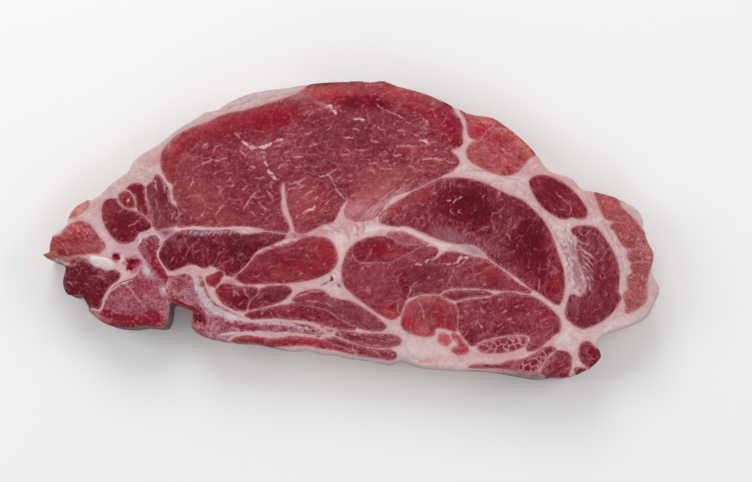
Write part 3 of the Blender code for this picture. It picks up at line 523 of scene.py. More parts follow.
@dataclass
class Slab:
    """The sawn slice as a whole: its sizes, the solids' outlines and the field that points inwards."""

    thickness: float = 18.0
    swell: float = 0.45
    swell_run: tuple[float, float] = (23.0, 17.0)
    swell_start: tuple[float, float] = (0.6, -0.3)
    crown: float = 0.75
    crown_reach: float = 5.0
    shoulder: float = 1.3
    tuck: float = 0.5
    tuck_reach: float = 5.0
    belly: float = 5.0
    foot: float = 0.3
    foot_height: float = 1.2
    wall_relief: float = 0.75
    seam: float = 0.33
    face_step: float = 0.25
    back_step: float = 0.62
    search_step: float = 0.25
    rim_step: float = 0.1
    wall_rows: int = 26
    cut_face_low: float = 12.0
    cut_face_tilt: float = 0.25
    neighbour_reach: float = 0.75
    corner_shift: float = 0.5
    loops: dict[str, list[np.ndarray]] = field(default_factory=dict)
    sides: dict[str, list[np.ndarray]] = field(default_factory=dict)
    tones: dict[str, tuple[int, int, int]] = field(default_factory=dict)
    names: list[str] = field(init=False)
    rim_middle: np.ndarray = field(init=False)
    rim_length: np.ndarray = field(init=False)
    rim_inwards: np.ndarray = field(init=False)
    rim_tree: KDTree = field(init=False)

    def read_solids(self) -> None:
        """Take each solid's outline and find which of its edges face another piece, and which."""
        for name, thing in frame["nodes"].items():
            self.loops[name] = self._outline(thing)
        names = sorted(self.loops)
        middles = []
        owners = []
        for number, name in enumerate(names):
            for loop in self.loops[name]:
                fine = self._dense(loop, self.search_step)
                middles.append(fine)
                owners.append(np.full(len(fine), number))
        everyone = np.vstack(middles)
        owner = np.concatenate(owners)
        for number, name in enumerate(names):
            others = everyone[owner != number]
            kinds = owner[owner != number]
            self.sides[name] = []
            for loop in self.loops[name]:
                middle = (loop + np.roll(loop, -1, axis=0)) / 2
                away = np.linalg.norm(middle[:, None] - others[None], axis=2)
                nearest = away.argmin(axis=1)
                facing = np.where(away.min(axis=1) < self.neighbour_reach, kinds[nearest], -1)
                self.sides[name].append(facing)
        self.names = names
        self._find_rim()

    def _outline(self, thing: bpy.types.Object) -> list[np.ndarray]:
        """Closed outlines of a solid's cut face.

        Args:
            thing: The solid.

        Returns:
            Loops of points with the piece on their left.
        """
        mesh = thing.data
        spots = np.zeros(len(mesh.vertices) * 3)
        mesh.vertices.foreach_get("co", spots)
        spots = spots.reshape(-1, 3) / METRES
        keys = {}
        same = np.array([keys.setdefault(tuple(np.round(p, 3)), i) for i, p in enumerate(spots)])
        edges = set()
        for face in mesh.polygons:
            corners = [int(same[v]) for v in face.vertices]
            high = spots[corners][:, 2].min() > self.cut_face_low
            if high and face.normal.z > self.cut_face_tilt:
                edges |= {(corners[i], corners[(i + 1) % len(corners)]) for i in range(len(corners))}
        following = {}
        for a, b in edges:
            if (b, a) not in edges:
                following.setdefault(a, []).append(b)
        loops = []
        while following:
            start = next(iter(following))
            loop = [start]
            here = following[start].pop()
            while here != start:
                loop.append(here)
                here = following[here].pop()
            following = {a: b for a, b in following.items() if b}
            loops.append(spots[loop][:, :2])
        return loops

    def _dense(self, loop: np.ndarray, step: float) -> np.ndarray:
        """Place points along a loop, no further apart than a step.

        Args:
            loop: Corners of the loop.
            step: The greatest spacing.

        Returns:
            The points, one a row.
        """
        out = []
        for a, b in zip(loop, np.roll(loop, -1, axis=0)):
            count = max(int(math.ceil(np.linalg.norm(b - a) / step)), 1)
            out.append(a + (b - a) * (np.arange(count) / count)[:, None])
        return np.vstack(out)

    def _find_rim(self) -> None:
        """Collect the stretches of outline that face no other piece."""
        starts, ends = [], []
        for name in self.names:
            for loop, facing in zip(self.loops[name], self.sides[name]):
                free = facing < 0
                starts.append(loop[free])
                ends.append(np.roll(loop, -1, axis=0)[free])
        start, end = np.vstack(starts), np.vstack(ends)
        run = end - start
        length = np.linalg.norm(run, axis=1)
        self.rim_middle = (start + end) / 2
        self.rim_length = length
        self.rim_inwards = np.stack([-run[:, 1], run[:, 0]], axis=1) / length[:, None]
        fine = np.vstack([a + (b - a) * np.linspace(0, 1, max(int(n / self.rim_step), 2))[:, None]
                          for a, b, n in zip(start, end, length)])
        self.rim_tree = tree_of(fine)

    def pull(self, spots: np.ndarray) -> np.ndarray:
        """Directions that point in from the nearest stretch of rim.

        Args:
            spots: Points on the face.

        Returns:
            One vector a point, shorter where the rim turns sharply.
        """
        away = np.linalg.norm(spots[:, None] - self.rim_middle[None], axis=2)
        weight = self.rim_length / (away + 1.0) ** 4
        total = (weight[:, :, None] * self.rim_inwards[None]).sum(axis=1)
        return total / weight.sum(axis=1)[:, None]

    def rim_distance(self, spots: np.ndarray) -> np.ndarray:
        """Distance from each point to the chop's rim."""
        return distances(self.rim_tree, spots)[0]

    def level(self, spots: np.ndarray) -> np.ndarray:
        """Height of the cut face before a muscle's crown and the rim's soft edge.

        Args:
            spots: Points on the face.

        Returns:
            One height a point.
        """
        turn = spots / np.array(self.swell_run) + np.array(self.swell_start)
        lift = np.sin(turn[:, 0]) * np.cos(turn[:, 1])
        return self.thickness + self.swell * lift

    def within(self, spots: np.ndarray) -> np.ndarray:
        """Hold points inside the box of the solids, which the rounded outline would leave by a hair."""
        low, high = (np.array(corner) / METRES for corner in CAD_BOX)
        return np.clip(spots, low, high)

    def smooth(self, loop: np.ndarray, facing: np.ndarray) -> tuple[np.ndarray, np.ndarray]:
        """Close half the gap along a loop, then round it and resample it.

        Args:
            loop: Corners of the outline, with the piece on its left.
            facing: For each edge, the number of the piece across it, or -1.

        Returns:
            Evenly spaced points, and for each what its stretch faces.
        """
        ahead = np.roll(loop, -1, axis=0) - loop
        ahead /= np.maximum(np.linalg.norm(ahead, axis=1), TINY)[:, None]
        right = np.stack([ahead[:, 1], -ahead[:, 0]], axis=1)
        gaps = np.where(facing < 0, 0.0, self.seam / 2)
        moved = []
        for i, corner in enumerate(loop):
            pair = np.array([right[i - 1], right[i]])
            want = np.array([gaps[i - 1], gaps[i]])
            shift = np.linalg.lstsq(pair, want, rcond=0.2)[0]
            moved.append(corner + shift * min(1.0, self.corner_shift / max(np.linalg.norm(shift), TINY)))
        spots = np.array(moved)
        before, after, beyond = (np.roll(spots, n, axis=0) for n in (1, -1, -2))
        points, sides = [], []
        for p0, p1, p2, p3, side in zip(before, spots, after, beyond, facing):
            count = max(int(round(np.linalg.norm(p2 - p1) / self.face_step)), 1)
            share = (np.arange(count) / count)[:, None]
            points.append(self._bend(p0, p1, p2, p3, share))
            sides += [side] * count
        return np.vstack(points), np.array(sides)

    @staticmethod
    def _bend(p0: np.ndarray, p1: np.ndarray, p2: np.ndarray, p3: np.ndarray,
              share: np.ndarray) -> np.ndarray:
        """Points on a centripetal curve between the two middle corners.

        Args:
            p0: Corner before.
            p1: Corner where the stretch starts.
            p2: Corner where it ends.
            p3: Corner after.
            share: How far along the stretch each point lies.

        Returns:
            The points.
        """
        t1 = max(np.linalg.norm(p1 - p0), SHORTEST) ** 0.5
        t2 = t1 + max(np.linalg.norm(p2 - p1), SHORTEST) ** 0.5
        t3 = t2 + max(np.linalg.norm(p3 - p2), SHORTEST) ** 0.5
        t = t1 + (t2 - t1) * share
        a = (p0 * (t1 - t) + p1 * t) / t1
        b = (p1 * (t2 - t) + p2 * (t - t1)) / (t2 - t1)
        c = (p2 * (t3 - t) + p3 * (t - t2)) / (t3 - t2)
        d = (a * (t2 - t) + b * t) / t2
        e = (b * (t3 - t) + c * (t - t1)) / (t3 - t1)
        return (d * (t2 - t) + e * (t - t1)) / (t2 - t1)


def tree_of(spots: np.ndarray) -> KDTree:
    """Build a search tree over flat points.

    Args:
        spots: The points, one a row.

    Returns:
        The tree.
    """
    tree = KDTree(len(spots))
    for number, (x, y) in enumerate(spots):
        tree.insert((x, y, 0.0), number)
    tree.balance()
    return tree


def distances(tree: KDTree, spots: np.ndarray) -> tuple[np.ndarray, np.ndarray]:
    """Find the nearest point of a tree for every spot.

    Args:
        tree: The tree.
        spots: Flat points, one a row.

    Returns:
        The distances and the numbers of the nearest points.
    """
    found = [tree.find((x, y, 0.0)) for x, y in spots]
    return np.array([f[2] for f in found]), np.array([f[1] for f in found], int)


def fill_rows(loops: list[np.ndarray], step: float, seed: int) -> np.ndarray:
    """Evenly spread points inside loops, in staggered rows with a little scatter.

    Args:
        loops: Outline and holes.
        step: Spacing of the points.
        seed: Number that picks the scatter.

    Returns:
        The points, one a row.
    """
    draw = np.random.default_rng(seed)
    starts = np.vstack(loops)
    ends = np.vstack([np.roll(loop, -1, axis=0) for loop in loops])
    low, high = starts.min(axis=0), starts.max(axis=0)
    rows = []
    for number, y in enumerate(np.arange(low[1] + step / 3, high[1], step * math.sqrt(0.75))):
        crosses = (starts[:, 1] > y) != (ends[:, 1] > y)
        a, b = starts[crosses], ends[crosses]
        cuts = np.sort(a[:, 0] + (y - a[:, 1]) * (b[:, 0] - a[:, 0]) / (b[:, 1] - a[:, 1]))
        first = math.floor(low[0] / step) * step + (number % 2) * step / 2
        for left, right in zip(cuts[0::2], cuts[1::2]):
            xs = np.arange(first + math.ceil((left - first) / step) * step, right, step)
            rows.append(np.stack([xs, np.full(len(xs), y)], axis=1))
    spots = np.vstack(rows) if rows else np.zeros((0, 2))
    return spots + draw.uniform(-0.16, 0.16, spots.shape) * step


def inside(spots: np.ndarray, loops: list[np.ndarray]) -> np.ndarray:
    """Find the points that lie inside the loops.

    Args:
        spots: The points, one a row.
        loops: An outline and its holes.

    Returns:
        One truth value a point.
    """
    odd = np.zeros(len(spots), bool)
    x, y = spots[:, 0], spots[:, 1]
    for loop in loops:
        for (ax, ay), (bx, by) in zip(loop, np.roll(loop, -1, axis=0)):
            if ay != by:
                spans = (ay > y) != (by > y)
                odd ^= spans & (x < ax + (y - ay) * (bx - ax) / (by - ay))
    return odd


def sheet_faces(loops: list[np.ndarray], loose: np.ndarray) -> np.ndarray:
    """Triangles that fill loops and use the loose points.

    Args:
        loops: Outline and holes.
        loose: Points inside them.

    Returns:
        Triangles as numbers into the loops' points followed by the loose points.
    """
    border = np.vstack(loops)
    edges = []
    first = 0
    for loop in loops:
        edges += [(first + i, first + (i + 1) % len(loop)) for i in range(len(loop))]
        first += len(loop)
    spots = [tuple(p) for p in border] + [tuple(p) for p in loose]
    found = delaunay_2d_cdt([Vector(p) for p in spots], edges, [], 0, SHORTEST)
    source = np.array([o[0] if o else -1 for o in found[3]])
    faces = source[np.array([tuple(f) for f in found[2]])]
    faces = faces[(faces >= 0).all(axis=1)]
    doubt = (faces < len(border)).all(axis=1)
    both = np.vstack([border, loose]) if len(loose) else border
    keep = np.ones(len(faces), bool)
    keep[doubt] = inside(both[faces[doubt]].mean(axis=1), loops)
    return faces[keep]


@dataclass
class Cut:
    """One solid of the chop, dressed: a piece of tissue that runs through the slice.

    Its mottle lies between the low, mid and high tones and is stretched along the grain, an angle in
    degrees. Patches, nets and marks run down through the piece, and the shade patches, which are painted
    shade, lie on the wall alone. The wall is also painted browner towards the bottom as shade. Veins,
    flecks and grit say how much of each it has. Spread widens the steps of a large piece's mesh.
    """

    node: str
    slot: str
    low: tuple[int, int, int]
    mid: tuple[int, int, int]
    high: tuple[int, int, int]
    marks: list[Streak] = field(default_factory=list)
    patches: list[Patch] = field(default_factory=list)
    nets: tuple[CellNet, ...] = ()
    # Patches of painted shade, laid on the wall alone.
    shade_patches: tuple[Patch, ...] = ()
    grain: float = 15.0
    veins: float = 0.3
    flecks: float = 0.05
    seed: int = 1
    finish: Finish = LEAN_FINISH
    crowned: bool = True
    grit: float = 0.05
    spread: float = 1.0
    face_margin: float = 0.55
    back_margin: float = 0.5
    back_offset: float = 40.0
    back_fading: float = 0.7
    wall_fading: float = 0.55
    wall_patch_fading: float = 0.7
    # Painted shade on the walls: its strength and the heights over which it grows towards the bottom, then
    # the heights below which the shade patches lie.
    wall_shade_strength: float = 0.28
    wall_shade_heights: tuple[float, float] = (13.0, 1.0)
    shade_patch_heights: tuple[float, float] = (17.4, 16.6)
    neighbour_share: float = 0.9
    border: np.ndarray = field(init=False)
    facing: np.ndarray = field(init=False)
    tree: KDTree = field(init=False)

    def build(self, slab: Slab) -> bpy.types.Object:
        """Mesh the piece, paint it and put it in place of its solid.

        Args:
            slab: The slice with all outlines.

        Returns:
            The finished piece.
        """
        outlines = zip(slab.loops[self.node], slab.sides[self.node])
        rounded = [slab.smooth(loop, side) for loop, side in outlines]
        loops = [points for points, _ in rounded]
        self.border = np.vstack(loops)
        self.facing = np.concatenate([side for _, side in rounded])
        self.tree = tree_of(self.border)
        free = np.concatenate([(side < 0) | (np.roll(side, 1) < 0) for _, side in rounded])

        flat, face = self._sheet(loops, slab.face_step * self.spread, self.seed, self.face_margin)
        top = np.column_stack([flat, self.height(slab, flat)])
        low_border = self.border + self._tuck(slab)
        low_loops = np.split(low_border, np.cumsum([len(loop) for loop in loops])[:-1])
        flat, back = self._sheet(low_loops, slab.back_step, self.seed + 1, self.back_margin)
        bottom = np.column_stack([flat, np.zeros(len(flat))])
        rows = self._wall_rows(slab, top[:len(free), 2], free)

        first_back = len(top)
        spots = np.vstack([top, bottom, rows])
        walls = self._wall_faces(loops, free, first_back, first_back + len(bottom), slab.wall_rows, spots)
        faces = np.vstack([face, first_back + back[:, ::-1], walls])
        spots = slab.within(spots)
        skin = np.repeat([side.value for side in Skin], [len(top), len(bottom), len(rows)])
        shades, wetness = self.paint(slab, spots, skin)
        thing = self._mesh(spots, faces, shades, wetness, first_back, free)
        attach(thing, "root")
        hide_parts(self.node)
        return thing

    def _sheet(self, loops: list[np.ndarray], step: float, seed: int,
               margin: float) -> tuple[np.ndarray, np.ndarray]:
        """Fill loops with points and triangles.

        Args:
            loops: Outline and holes.
            step: Spacing of the points inside.
            seed: Number that picks their scatter.
            margin: How far they stay from the border, in steps.

        Returns:
            The border's points followed by the others, and the triangles.
        """
        border = np.vstack(loops)
        loose = fill_rows(loops, step, seed)
        away, _ = distances(tree_of(border), loose)
        loose = loose[away > step * margin]
        return np.vstack([border, loose]), sheet_faces(loops, loose)

    def height(self, slab: Slab, spots: np.ndarray) -> np.ndarray:
        """Height of the cut face: crown, seams, the soft rim and the relief of the tissue.

        Args:
            slab: The slice.
            spots: Points on the face.

        Returns:
            One height a point.
        """
        away, _ = distances(self.tree, spots)
        heights = slab.level(spots)
        if self.crowned:
            rise = np.clip(away / slab.crown_reach, 0.0, 1.0)
            heights += slab.crown * rise * (2.0 - rise)
        solid = np.column_stack([spots, np.zeros(len(spots))])
        heights += 0.12 * (ripple(solid, 2.6, self.seed + 3) - 0.5) * ramp(away, 0.0, 2.0)
        heights += 0.1 * (ripple(solid, 0.8, self.seed + 4) - 0.5) * ramp(away, 0.0, 1.0)
        near = np.clip(1.0 - slab.rim_distance(spots) / slab.shoulder, 0.0, 1.0)
        return heights - slab.shoulder * (1.0 - np.sqrt(1.0 - near ** 2))

    def _tuck(self, slab: Slab) -> np.ndarray:
        """How far each border point draws in between the cut face and the back face.

        Args:
            slab: The slice.

        Returns:
            One flat vector a border point.
        """
        share = np.clip(1.0 - slab.rim_distance(self.border) / slab.tuck_reach, 0.0, 1.0)
        draw = slab.tuck * share + slab.foot * ramp(share, 0.9, 1.0)
        return slab.pull(self.border) * draw[:, None]

    def _wall_rows(self, slab: Slab, heights: np.ndarray, free: np.ndarray) -> np.ndarray:
        """Points of the wall under the free stretches of the border.

        Args:
            slab: The slice.
            heights: Height of the cut face at each border point.
            free: Which border points stand on the chop's rim.

        Returns:
            The points, column after column, from the top down.
        """
        edge = self.border[free]
        if not len(edge):
            return np.zeros((0, 3))
        pull = slab.pull(edge)
        share = (np.arange(slab.wall_rows) + 1.0) / (slab.wall_rows + 1.0)
        share = share + 0.06 * np.sin(2.0 * np.pi * share)
        z = heights[free][:, None] * (1.0 - share)[None]
        inset = slab.tuck * np.clip((slab.belly - z) / slab.belly, 0.0, 1.0)
        inset += slab.foot * np.clip(1.0 - z / slab.foot_height, 0.0, 1.0) ** 2
        columns = np.repeat(edge[:, None], slab.wall_rows, 1)
        place = np.concatenate([columns, z[..., None]], axis=2).reshape(-1, 3)
        wave = 0.5 * ripple(place, 3.4, Noise.WALL_WAVE) + 0.28 * ripple(place, 1.2, Noise.WALL_RIPPLE)
        flow = np.column_stack([place[:, :2] * 0.4, place[:, 2] * 2.0])
        wave += 0.3 * ripple(flow, 2.0, Noise.WALL_FLOW)
        calm = np.sin(np.pi * np.clip(share * 1.1, 0.0, 1.0)) ** 0.5
        inset += wave.reshape(inset.shape) * calm[None] * slab.wall_relief
        flat = edge[:, None] + pull[:, None] * inset[..., None]
        return np.concatenate([flat, z[..., None]], axis=2).reshape(-1, 3)

    def _wall_faces(self, loops: list[np.ndarray], free: np.ndarray, first_back: int, first_rows: int,
                    rows: int, spots: np.ndarray) -> np.ndarray:
        """Triangles of the walls, with rows only where the wall shows.

        Args:
            loops: Border loops.
            free: Which border points have rows under them.
            first_back: Number of the back face's first point.
            first_rows: Number of the first point of the rows.
            rows: Points in a column.
            spots: All points.

        Returns:
            The triangles.
        """
        column = np.cumsum(free) - 1
        faces = []
        first = 0
        heights = spots[:, 2]
        for loop in loops:
            for i in range(len(loop)):
                here, there = first + i, first + (i + 1) % len(loop)
                chains = []
                for corner in (here, there):
                    start = first_rows + column[corner] * rows
                    between = list(range(start + rows - 1, start - 1, -1)) if free[corner] else []
                    chains.append([first_back + corner] + between + [corner])
                left, right = chains
                a = b = 0
                while a < len(left) - 1 or b < len(right) - 1:
                    rest_left, rest_right = a < len(left) - 1, b < len(right) - 1
                    if rest_left and (not rest_right or heights[left[a + 1]] <= heights[right[b + 1]]):
                        faces.append((left[a], right[b], left[a + 1]))
                        a += 1
                    else:
                        faces.append((left[a], right[b], right[b + 1]))
                        b += 1
            first += len(loop)
        return np.array(faces)

    def _mesh(self, spots: np.ndarray, faces: np.ndarray, shades: np.ndarray, wetness: np.ndarray,
              first_back: int, free: np.ndarray) -> bpy.types.Object:
        """Make the mesh with its paint, smooth but sharp along the seams.

        Args:
            spots: Points in millimetres.
            faces: Triangles.
            shades: sRGB colour of each point.
            wetness: Factor on the roughness at each point.
            first_back: Number of the back face's first point.
            free: Which border points stand on the chop's rim.

        Returns:
            The new object.
        """
        border = len(free)
        mesh = bpy.data.meshes.new("dressed_" + self.node)
        mesh.vertices.add(len(spots))
        mesh.vertices.foreach_set("co", (spots * METRES).ravel())
        mesh.loops.add(len(faces) * 3)
        mesh.loops.foreach_set("vertex_index", faces.ravel())
        mesh.polygons.add(len(faces))
        mesh.polygons.foreach_set("loop_start", np.arange(len(faces)) * 3)
        mesh.update(calc_edges=True)
        mesh.validate()
        mesh.polygons.foreach_set("use_smooth", np.ones(len(mesh.polygons), bool))
        pairs = np.zeros(len(mesh.edges) * 2, int)
        mesh.edges.foreach_get("vertices", pairs)
        pairs = pairs.reshape(-1, 2)
        hidden = np.zeros(len(spots), bool)
        hidden[:border] = ~free
        hidden[first_back:first_back + border] = True
        both_top = (pairs < border).all(axis=1) & hidden[pairs].any(axis=1)
        both_low = ((pairs >= first_back) & (pairs < first_back + border)).all(axis=1)
        sharp = mesh.attributes.new("sharp_edge", "BOOLEAN", "EDGE")
        sharp.data.foreach_set("value", both_top | both_low)
        paint = mesh.color_attributes.new("paint", "FLOAT_COLOR", "POINT")
        values = np.column_stack([linear(shades), wetness]).astype(np.float32)
        paint.data.foreach_set("color", values.ravel())
        mesh.materials.append(self.finish.material())
        thing = bpy.data.objects.new(self.node + "_dressed", mesh)
        bpy.context.scene.collection.objects.link(thing)
        return thing

    def paint(self, slab: Slab, spots: np.ndarray, skin: np.ndarray) -> tuple[np.ndarray, np.ndarray]:
        """Colour and wetness of every point.

        Args:
            slab: The slice.
            spots: Points of the whole piece.
            skin: Value of the side that each point lies on.

        Returns:
            sRGB colours and factors on the roughness.
        """
        at = self._spots(spots, skin)
        widths, gaps = ripple(at.place, 0.75, Noise.MARK_WIDTH), ripple(at.place, 1.3, Noise.MARK_GAPS)
        fray = np.column_stack([widths, gaps])
        shades = self.tone(at.place)
        rough = ripple(at.place, 3.0, self.seed + 9)
        for patch in self.patches:
            share = patch.cover(at.flat, rough)
            shades = mix(shades, patch.tint, share * np.where(at.wall, self.wall_patch_fading, 1.0))
        for net in self.nets:
            shades = net.cover(shades, at.flat)
        shades = self.texture(slab, shades, at)
        wetness = np.ones(len(spots))
        fading = np.where(at.back, self.back_fading, 1.0) * np.where(at.wall, self.wall_fading, 1.0)
        for mark in self.marks:
            near, share = mark.cover(at.flat, fray)
            share = share * fading[near]
            shades[near] = mix(shades[near], mark.tint, share * (0.8 + 0.4 * rough[near]))
            wetness[near] -= mark.wet * share
        shades = self.edges(slab, shades, at)
        shades = self.overlap(slab, shades, at)
        # Painted shade: the walls are mixed with brown, more strongly towards the bottom.
        wall_shade = at.wall * self.wall_shade_strength * ramp(spots[:, 2], *self.wall_shade_heights)
        shades = mix(shades, Tint.BROWN, wall_shade)
        # Painted shade: the shade patches darken the wall below the cut face.
        below_face = at.wall * ramp(spots[:, 2], *self.shade_patch_heights)
        for shade_patch in self.shade_patches:
            shades = mix(shades, shade_patch.tint, shade_patch.cover(spots[:, :2], rough) * below_face)
        grit = np.random.default_rng(self.seed + 11).normal(0.0, self.grit, len(spots))
        return shades * (1.0 + np.clip(grit, -0.2, 0.25))[:, None], np.clip(wetness, 0.3, 1.3)

    def _spots(self, spots: np.ndarray, skin: np.ndarray) -> Spots:
        """Gather what the painting needs to know of the points.

        Args:
            spots: Points of the whole piece.
            skin: Value of the side that each point lies on.

        Returns:
            The points with their facts.
        """
        back = skin == Skin.BACK.value
        place = spots.copy()
        place[back, 2] += self.back_offset
        away, nearest = distances(self.tree, spots[:, :2])
        warp = ripples(place, 1.5, Noise.WARP_X, Noise.WARP_Y) - 0.5
        finer = ripples(place, 0.6, Noise.FRET_X, Noise.FRET_Y) - 0.5
        flat = spots[:, :2] + warp * np.where(back, 2.4, 0.8)[:, None] + 0.28 * finer
        return Spots(place, flat, away, nearest, back, skin == Skin.WALL.value)

    def overlap(self, slab: Slab, shades: np.ndarray, at: Spots) -> np.ndarray:
        """Let the tones of neighbours wander over the seams on the wall.

        Args:
            slab: The slice.
            shades: Colours so far.
            at: The points.

        Returns:
            The colours with wavy edges on the wall.
        """
        seam = np.flatnonzero(self.facing >= 0)
        wall = np.flatnonzero(at.wall)
        if not len(seam) or not len(wall):
            return shades
        own = slab.names.index(self.node)
        place = at.place[wall]
        away, which = distances(tree_of(self.border[seam]), place[:, :2])
        other = self.facing[seam[which]]
        upright = place * np.array([0.1, 0.1, 1.0])
        broad = ripple(upright, 3.6, Noise.SEAM_SWAY) - 0.5
        fine = ripple(place, 1.1, Noise.SEAM_FRAY) - 0.5
        sway = 2.6 * broad + 1.2 * fine
        sway = np.where(other > own, -sway, sway)
        tones = np.array([slab.tones[name] for name in slab.names], float) / 255.0
        share = ramp(away - sway, 0.35, -0.25) * (away < 2.2)
        shades[wall] = blend(shades[wall], tones[other] * 0.96, self.neighbour_share * share)
        return shades

    def tone(self, place: np.ndarray) -> np.ndarray:
        """Unmarked colour of the tissue: a mottle between its low, middle and high tones.

        Args:
            place: Points, with the back face moved to another part of the fields.

        Returns:
            sRGB colours.
        """
        turned = np.column_stack([self.along_grain(place), place[:, 2] * 0.45])
        stretched = turned * np.array([0.62, 1.0, 1.0])
        broad = ripple(place, 7.5, self.seed) - 0.5
        middle = ripple(stretched, 1.5, self.seed + 1) - 0.5
        fine = ripple(stretched, 0.5, self.seed + 2) - 0.5
        value = 0.5 * broad + 0.75 * middle + 1.2 * fine
        low, mid, high = (np.array(t, float) / 255.0 for t in (self.low, self.mid, self.high))
        up = np.clip(value * 1.5, 0.0, 1.0)[:, None]
        down = np.clip(-value * 1.5, 0.0, 1.0)[:, None]
        return mid + (high - mid) * up + (low - mid) * down

    def along_grain(self, spots: np.ndarray) -> np.ndarray:
        """Coordinates of the points along and across the grain.

        Args:
            spots: Points, one a row.

        Returns:
            Two numbers a point.
        """
        turn = math.radians(self.grain)
        x, y = spots[:, 0], spots[:, 1]
        along = x * math.cos(turn) + y * math.sin(turn)
        across = y * math.cos(turn) - x * math.sin(turn)
        return np.column_stack([along, across])

    def texture(self, slab: Slab, shades: np.ndarray, at: Spots) -> np.ndarray:
        """Pattern that belongs to the tissue itself.

        Args:
            slab: The slice. Not used.
            shades: Colours so far.
            at: The points. Not used.

        Returns:
            The colours with the pattern.
        """
        return shades

    def edges(self, slab: Slab, shades: np.ndarray, at: Spots) -> np.ndarray:
        """Colour change along the piece's border.

        Args:
            slab: The slice. Not used.
            shades: Colours so far.
            at: The points. Not used.

        Returns:
            The colours with their border.
        """
        return shades

    def faced(self, slab: Slab, nearest: np.ndarray) -> np.ndarray:
        """Slots of the pieces that the nearest border points face, empty at the rim."""
        slots = np.array([SLOT_OF[name] for name in slab.names] + [""])
        return slots[self.facing[nearest]]


@dataclass
class LeanCut(Cut):
    """A muscle: fibre bundles between fine veins of fat, with a pale skin where muscles touch."""

    fleck_tint: Tint = Tint.MARBLE
    seam_line: float = 0.55

    def texture(self, slab: Slab, shades: np.ndarray, at: Spots) -> np.ndarray:
        """Veins between the fibre bundles and short flecks of marbling.

        Args:
            slab: The slice. Not used.
            shades: Colours so far.
            at: The points.

        Returns:
            The colours with veins, flecks and, on the wall, a dull skin.
        """
        turn = math.radians(self.grain)
        turned = np.column_stack([self.along_grain(at.flat), at.place[:, 2] * 0.35])
        fibre = turned * np.array([0.5, 1.0, 1.0])
        ridge = 1.0 - np.abs(2.0 * ripple(fibre, 1.5, self.seed + 5) - 1.0)
        here = ramp(ripple(at.place, 3.5, self.seed + 6), 0.4, 0.75)
        shades = mix(shades, Tint.MARBLE, self.veins * ramp(ridge, 0.8, 1.0) * here)
        speck = ripple(at.place, 0.42, self.seed + 12)
        shades = mix(shades, Tint.MARBLE, 1.1 * self.veins * ramp(speck, 0.74, 0.95))
        shades = mix(shades, Tint.DEEP, 0.9 * self.veins * ramp(speck, 0.3, 0.08))
        draw = np.random.default_rng(self.seed + 7)
        low, high = at.flat.min(axis=0), at.flat.max(axis=0)
        widths, gaps = ripple(at.place, 0.6, Noise.FLECK_WIDTH), ripple(at.place, 0.9, Noise.FLECK_GAPS)
        fray = np.column_stack([widths, gaps])
        for _ in range(int(2.2 * self.flecks * np.prod(high - low))):
            fleck = self._fleck(draw, low, high, turn)
            near, share = fleck.cover(at.flat, fray)
            if len(near):
                shades[near] = mix(shades[near], fleck.tint, share)
        skin = ripple(at.place * np.array([0.5, 0.5, 1.0]), 3.2, Noise.WALL_SKIN)
        shades = mix(shades, Tint.PLUM, at.wall * 0.25)
        shades = mix(shades, Tint.MARBLE, at.wall * 0.4 * ramp(skin, 0.55, 0.85))
        return mix(shades, Tint.DARK, at.wall * 0.5 * ramp(skin, 0.42, 0.15))

    def _fleck(self, draw: np.random.Generator, low: np.ndarray, high: np.ndarray, turn: float) -> Streak:
        """Draw one short fleck of marbling that lies roughly along the grain.

        Args:
            draw: Source of the random numbers.
            low: Lower corner of the piece.
            high: Upper corner of the piece.
            turn: Direction of the grain in radians.

        Returns:
            The fleck.
        """
        start = draw.uniform(low, high)
        angle = turn + draw.normal(0.0, 0.32)
        reach = draw.gamma(1.8, 0.48)
        bend = angle + draw.normal(0.0, 0.35)
        middle = start + reach / 2 * np.array([math.cos(angle), math.sin(angle)])
        end = middle + reach / 2 * np.array([math.cos(bend), math.sin(bend)])
        way = tuple(tuple(spot - MARK_SHIFT) for spot in (start, middle, end))
        return Streak(self.fleck_tint, draw.uniform(0.08, 0.42), draw.uniform(0.15, 0.7), way)

    def edges(self, slab: Slab, shades: np.ndarray, at: Spots) -> np.ndarray:
        """A soft change to fat, and a thin pale line against another muscle.

        Args:
            slab: The slice.
            shades: Colours so far.
            at: The points.

        Returns:
            The colours with their border.
        """
        faces = self.faced(slab, at.nearest)
        rough = ripple(at.place, 1.1, self.seed + 8)
        fine = ripple(at.place, 0.4, self.seed + 14)
        pale = np.isin(faces, ("fat", "cartilage", "bone"))
        band = ramp(at.away + 0.7 * (rough - 0.5) + 0.8 * (fine - 0.5), 0.42, -0.1)
        shades = mix(shades, Tint.FAT_PINK, np.where(pale, 0.5 * band, 0.0))
        lean = ~pale & (faces != "")
        line = ramp(at.away, 0.42, 0.1) * (0.4 + 0.9 * rough) * self.seam_line
        return mix(shades, Tint.MARBLE, np.where(lean, line, 0.0))


